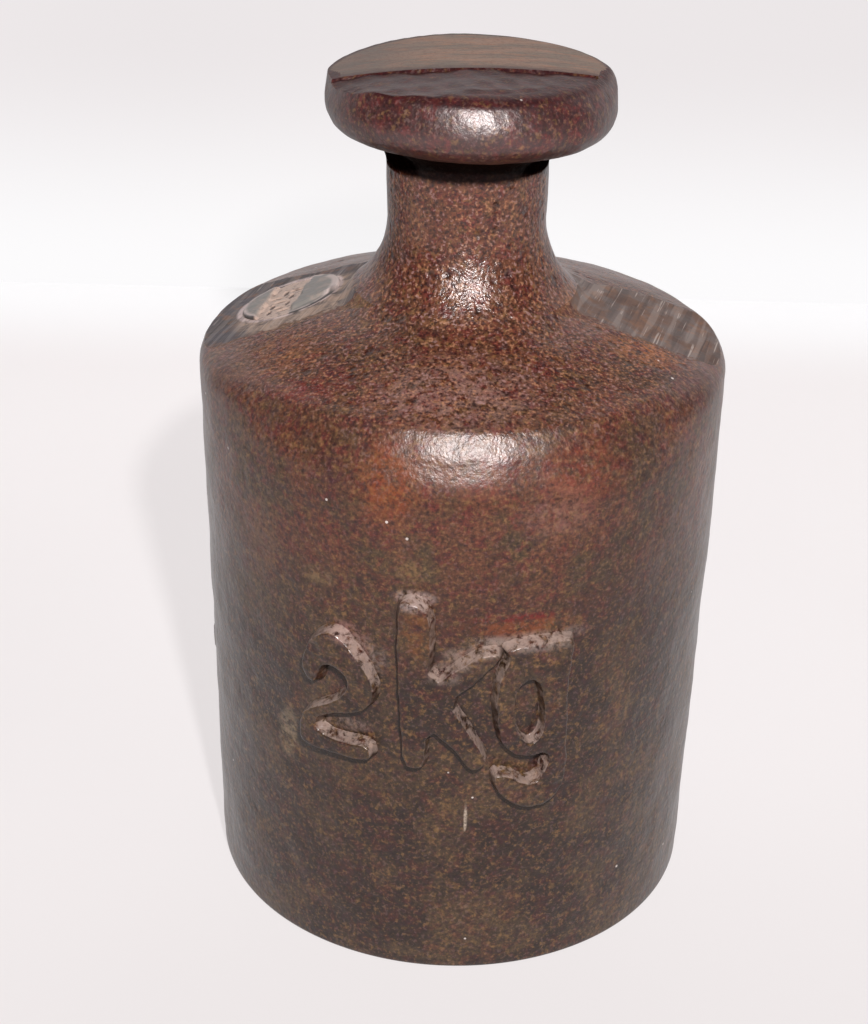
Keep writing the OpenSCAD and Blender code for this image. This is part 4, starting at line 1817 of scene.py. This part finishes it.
@dataclass
class LeadSeal:
    """The lead driven into the cavity's mouth, with a band struck across its face.

    Sizes are in millimetres. X runs downhill from the middle of the mouth and Z stands off the face.
    """

    shoulder: ShoulderFrame
    radius: float = 22.9
    across: float = 1.2
    face: float = -0.75
    mouth_diameter: float = 13.2
    mouth_depth: float = 5.2
    groove_diameter: float = 15.4
    groove_width: float = 1.4
    disc_seat_diameter: float = 11.9
    disc_thickness: float = 1.5
    cavity_diameter: float = 10.2
    cavity_depth: float = 38.0
    drill_angle: float = 118.0
    fit: float = 0.02
    proud: float = 0.45
    band_centre: float = 1.1
    band_width: float = 4.9
    band_depth: float = 0.5

    def levels(self) -> tuple[float, float, float]:
        """Heights of the mouth's floor and of the lower and upper side of its key groove.

        Returns:
            The three heights.
        """
        floor = self.face - self.mouth_depth
        middle, half = self.mouth_depth / 2, self.groove_width / 2
        return floor, floor + middle - half, floor + middle + half

    def bore_outline(self) -> list[tuple[float, float]]:
        """The half outline of everything that was drilled, from its bottom to above the face.

        Returns:
            Radius and height of each point.
        """
        floor, low, high = self.levels()
        seat = floor - self.disc_thickness
        end = seat - self.cavity_depth
        tip = end - self.cavity_diameter / 2 * math.tan(math.radians(90 - self.drill_angle / 2))
        mouth, groove = self.mouth_diameter / 2, self.groove_diameter / 2
        disc, cavity = self.disc_seat_diameter / 2, self.cavity_diameter / 2
        return [(0, tip), (cavity, end), (cavity, seat), (disc, seat), (disc, floor), (mouth, floor),
                (mouth, low), (groove, low), (groove, high), (mouth, high), (mouth, 2.0), (0, 2.0)]

    def body(self) -> Bench:
        """The plug of lead with its key, spun from its outline.

        Returns:
            The bench that holds the plug.
        """
        floor, low, high = self.levels()
        low, high, top = low + self.fit, high - self.fit, self.face + self.proud
        wall, key = self.mouth_diameter / 2 - self.fit, self.groove_diameter / 2 - self.fit
        corners = [Corner(0, floor), Corner(wall, floor), Corner(wall, low), Corner(key, low),
                   Corner(key, high), Corner(wall, high), Corner(wall, top, 0.35), Corner(0, top)]
        return Bench.revolved("seal_lead_face", trace(corners, 0.4, 0.1), 128)

    def strike(self, bench: Bench) -> None:
        """Strikes the band into the lead and leaves plain punch marks in it.

        Args:
            bench: The bench that holds the plug.
        """
        middle, half, depth = self.band_centre, self.band_width / 2, self.band_depth
        top = self.face + self.proud
        punches = (
            (0.2, -3.1, 0.55, 0.22), (1.6, -2.7, 0.22, 0.6), (2.4, -1.2, 0.55, 0.2), (0.4, -1.0, 0.22, 0.6),
            (1.5, 0.4, 0.6, 0.2), (0.3, 1.4, 0.2, 0.55), (2.3, 1.8, 0.25, 0.5), (1.1, 2.8, 0.6, 0.22),
            (0.2, 4.0, 0.5, 0.2), (2.2, 3.9, 0.2, 0.5),
        )

        def press(places: np.ndarray) -> np.ndarray:
            """Sinks the band and the punch marks into the lead.

            Args:
                places: All places as rows in millimetres.

            Returns:
                The new places.
            """
            moved = places.copy()
            x, y = moved[:, 0], moved[:, 1]
            face = moved[:, 2] > self.face - 0.6
            edge = 0.22 * np.sin(y * 1.1 + 0.5) + 0.12 * np.sin(y * 2.9)
            inside = np.clip((half - np.abs(x - middle + edge)) / 0.35 + 0.5, 0, 1)
            sink = inside * depth
            lower = np.clip((y - 2.4 - 0.8 * (x + 4.4)) / 0.5, 0, 1) * (x < -1.2)
            sink = np.maximum(sink, lower * depth * 0.9)
            for px, py, wide, tall in punches:
                mark = np.clip(1.6 - np.hypot((x - px) / (wide * 1.25), (y - py) / (tall * 1.25)), 0, 1)
                sink += mark * 0.36
            level = np.clip((moved[:, 2] - (self.face - 0.6)) / (top - self.face + 0.6), 0, 1)
            moved[face, 2] -= (sink * level)[face]
            return moved

        bench.move_points(press)

    def build(self, lead: bpy.types.Material) -> Bench:
        """Builds the seal in its place on the shoulder.

        Args:
            lead: The lead finish.

        Returns:
            The bench that holds the seal.
        """
        bench = self.body()
        bench.done()
        bench.modify("REMESH", mode="VOXEL", voxel_size=0.14 * MM, adaptivity=0.0)
        self.strike(bench)
        bench.modify("SMOOTH", factor=0.5, iterations=2)
        bench.weigh("face", lambda p: (p[:, 2] - (self.face - 0.2)) / 0.3)
        bench.ripple(1.6, 0.16, "face")
        bench.obj.data.transform(self.shoulder.seat(self.radius, self.across))
        bench.obj.data.materials.clear()
        bench.obj.data.materials.append(lead)
        bench.smooth(50)
        return bench


@dataclass
class AdjustingLoad:
    """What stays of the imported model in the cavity: the closing disc and the shot."""

    def dress(self, brass: bpy.types.Material, shot: bpy.types.Material) -> None:
        """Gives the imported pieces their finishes.

        Args:
            brass: The finish of the disc.
            shot: The finish of the pellets.
        """
        for name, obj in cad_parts.items():
            finish = brass if name == "closing_disc" else shot if name.startswith("lead_shot") else None
            if finish is None:
                continue
            obj.data.materials.clear()
            obj.data.materials.append(finish)
            LOG.info("%s: %s", name, finish.name)


@dataclass
class Studio:
    """The floor, the backdrop, the lamps and the camera."""

    fold: float = 0.205
    lamp_place: tuple[float, float, float] = (0.022, -0.211, 0.213)
    lamp_radius: float = 0.006
    lamp_power: float = 55.0
    camera_place: tuple[float, float, float] = (0.0, -0.2315, 0.1725)
    pitch: float = 0.487
    yaw: float = -0.014
    roll: float = 0.021
    lens: float = 69.36

    def build_paper(self, paper: bpy.types.Material, back_paper: bpy.types.Material) -> None:
        """Lays the floor and stands the backdrop behind it.

        Args:
            paper: The floor's finish.
            back_paper: The backdrop's finish.
        """
        Bench.clear()
        bpy.ops.mesh.primitive_plane_add(size=60.0, location=(0, 0, 0))
        floor = bpy.context.active_object
        floor.name = "paper_floor"
        floor.data.materials.append(paper)
        Bench.clear()
        bpy.ops.mesh.primitive_plane_add(size=1.0, location=(0, 0, 0))
        wall = bpy.context.active_object
        wall.name = "paper_backdrop"
        bpy.ops.object.mode_set(mode="EDIT")
        bpy.ops.mesh.select_all(action="SELECT")
        bpy.ops.transform.resize(value=(4.0, 0.0, 1.0))
        bpy.ops.object.mode_set(mode="OBJECT")
        head, top = 0.62, 1.6
        corners = ((-2, self.fold, 0), (2, self.fold, 0), (-2, head, top), (2, head, top))
        for vertex, corner in zip(wall.data.vertices, corners):
            vertex.co = corner
        wall.data.materials.append(back_paper)

    def light(self) -> None:
        """Hangs the one lamp by the camera, even at every distance, and sets the world's faint light."""
        data = bpy.data.lights.new("camera_lamp", "POINT")
        data.shadow_soft_size, data.energy = self.lamp_radius, self.lamp_power
        data.color = (1.0, 0.985, 0.985)
        data.use_nodes = True
        sheet = Sheet(data.node_tree)
        fall = sheet.node("ShaderNodeLightFalloff")
        fall.inputs["Strength"].default_value = 1.0
        glow = next(n for n in sheet.tree.nodes if n.type == "EMISSION")
        sheet.feed(glow.inputs["Strength"], fall.outputs["Constant"])
        lamp = bpy.data.objects.new("camera_lamp", data)
        bpy.context.scene.collection.objects.link(lamp)
        lamp.location = self.lamp_place
        world = bpy.data.worlds.new("studio_world")
        bpy.context.scene.world = world
        world.use_nodes = True
        sheet = Sheet(world.node_tree)
        back = next(n for n in sheet.tree.nodes if n.type == "BACKGROUND")
        back.inputs["Color"].default_value = (0.90, 0.94, 1.0, 1.0)
        back.inputs["Strength"].default_value = 0.04
        bpy.context.scene.view_settings.view_transform = "Standard"

    def set_camera(self) -> None:
        """Puts the camera where the photograph was taken from."""
        data = bpy.data.cameras.new("camera")
        data.lens, data.sensor_width = self.lens, 36.0
        data.clip_start, data.clip_end = 0.01, 50.0
        camera = bpy.data.objects.new("camera", data)
        bpy.context.scene.collection.objects.link(camera)
        bpy.context.scene.camera = camera
        level_share = math.cos(self.pitch)
        ahead = Vector((math.sin(self.yaw) * level_share, math.cos(self.yaw) * level_share,
                        -math.sin(self.pitch)))
        level = Vector((math.cos(self.yaw), -math.sin(self.yaw), 0))
        upward = level.cross(ahead)
        right = level * math.cos(self.roll) + upward * math.sin(self.roll)
        up = upward * math.cos(self.roll) - level * math.sin(self.roll)
        camera.matrix_world = Matrix((
            (right.x, up.x, -ahead.x, self.camera_place[0]),
            (right.y, up.y, -ahead.y, self.camera_place[1]),
            (right.z, up.z, -ahead.z, self.camera_place[2]),
            (0, 0, 0, 1),
        ))


def denomination() -> list[RaisedCharacter]:
    """The plain raised characters of the denomination.

    Returns:
        The characters, from left to right.
    """
    return [
        RaisedCharacter("numeral_2", (
            (-19.4, 44.2), (-18.4, 47.6), (-16.4, 49.7), (-14.3, 50.3), (-12.6, 49.3), (-10.8, 47.0),
            (-9.3, 44.8), (-8.8, 42.4), (-9.3, 40.4), (-10.9, 38.9), (-15.1, 37.6), (-16.6, 36.2),
            (-16.2, 35.3), (-13.0, 35.0), (-9.5, 35.2), (-9.2, 32.4), (-10.6, 32.0), (-14.6, 31.9),
            (-19.0, 32.0), (-19.7, 33.0), (-19.6, 36.2), (-18.6, 38.0), (-15.8, 39.6), (-13.8, 41.2),
            (-13.0, 42.8), (-13.4, 44.2), (-14.6, 44.8), (-15.9, 44.2), (-16.4, 41.5), (-18.4, 41.6),
        )),
        RaisedCharacter("letter_k", (
            (-6.3, 32.3), (-6.6, 40.2), (-7.1, 48.0), (-7.0, 55.4), (-5.6, 56.5), (-3.6, 55.9),
            (-2.4, 54.4), (-2.2, 50.4), (-2.5, 45.2), (1.0, 48.2), (3.4, 49.7), (5.4, 49.7),
            (5.8, 48.2), (3.0, 45.2), (0.0, 42.1), (1.8, 39.4), (4.4, 34.4), (4.2, 32.9),
            (2.7, 31.9), (1.5, 32.6), (-0.6, 36.0), (-2.6, 37.6), (-2.7, 34.0), (-3.2, 32.1),
        )),
        RaisedCharacter("letter_g", (
            (4.5, 43.0), (5.1, 46.6), (6.1, 48.4), (5.2, 49.8), (7.7, 50.6), (10.7, 50.6),
            (14.4, 50.6), (14.5, 48.6), (14.0, 45.4), (14.2, 39.2), (14.5, 31.0), (14.0, 28.1),
            (11.8, 26.1), (9.2, 25.9), (6.5, 27.2), (4.8, 29.5), (4.6, 32.2), (7.0, 31.9),
            (8.8, 30.4), (10.2, 30.6), (11.0, 32.0), (11.2, 34.0), (9.0, 33.4), (6.4, 34.7),
            (4.9, 37.2),
        ), counter=(
            (7.3, 41.6), (7.6, 43.9), (8.8, 45.2), (10.1, 44.1), (10.6, 40.5), (10.6, 37.5),
            (9.4, 35.9), (7.8, 37.4),
        )),
    ]


def main() -> None:
    """Builds the weight's looks piece by piece."""
    logging.basicConfig(level=logging.INFO, format="%(name)s: %(message)s")
    effects = SharedEffects()
    skin = CastSkin().build(effects)
    plain = GroundIron(name="ground_iron_plain").build(effects)
    sealed = GroundIron(name="ground_iron_sealed", grey=(74, 67, 72), brown=(70, 60, 58), tilt=16,
                        spacing=1.4, centre=(-20.6, 1.5, 78.2), worn=0.66, strokes=0.4,
                        heading=SEAL_HEADING, depth=0.75).build(effects)
    crown = FiledCrown().build(effects)
    lead = Lead(band=(21.6, 26.2), heading=SEAL_HEADING).build(effects)
    shot = Lead(name="shot_lead", smooth=(104, 106, 110), dirt=(120, 120, 120), roughness=0.45)
    brass = TurnedBrass().build(effects)

    shoulder = ShoulderFrame()
    seal = LeadSeal(shoulder)
    casting = IronCasting(shoulder)
    casting.build(seal, (skin, plain, sealed, crown)).finish("cast_skin", "iron_casting")
    # The characters' skin, with pale dust and painted light on their upper flanks.
    raised = CastSkin(name="raised_iron_skin", flank_dust_and_light=0.62).build(effects)
    for character in denomination():
        character.build(raised).finish("cast_skin")
    seal.build(lead).finish("seal_lead", "lead_seal_plug")
    AdjustingLoad().dress(brass, shot.build(effects))

    studio = Studio()
    lit, bounced = (180, 178, 178), (212, 212, 216)
    backdrop = PalePaper(name="backdrop_paper", near=lit, far=lit, bounce_near=bounced, bounce_far=bounced,
                         seen=(242, 237, 238), glow=0.92)
    studio.build_paper(PalePaper().build(), backdrop.build())
    studio.light()
    studio.set_camera()


if __name__ == "__main__":
    main()
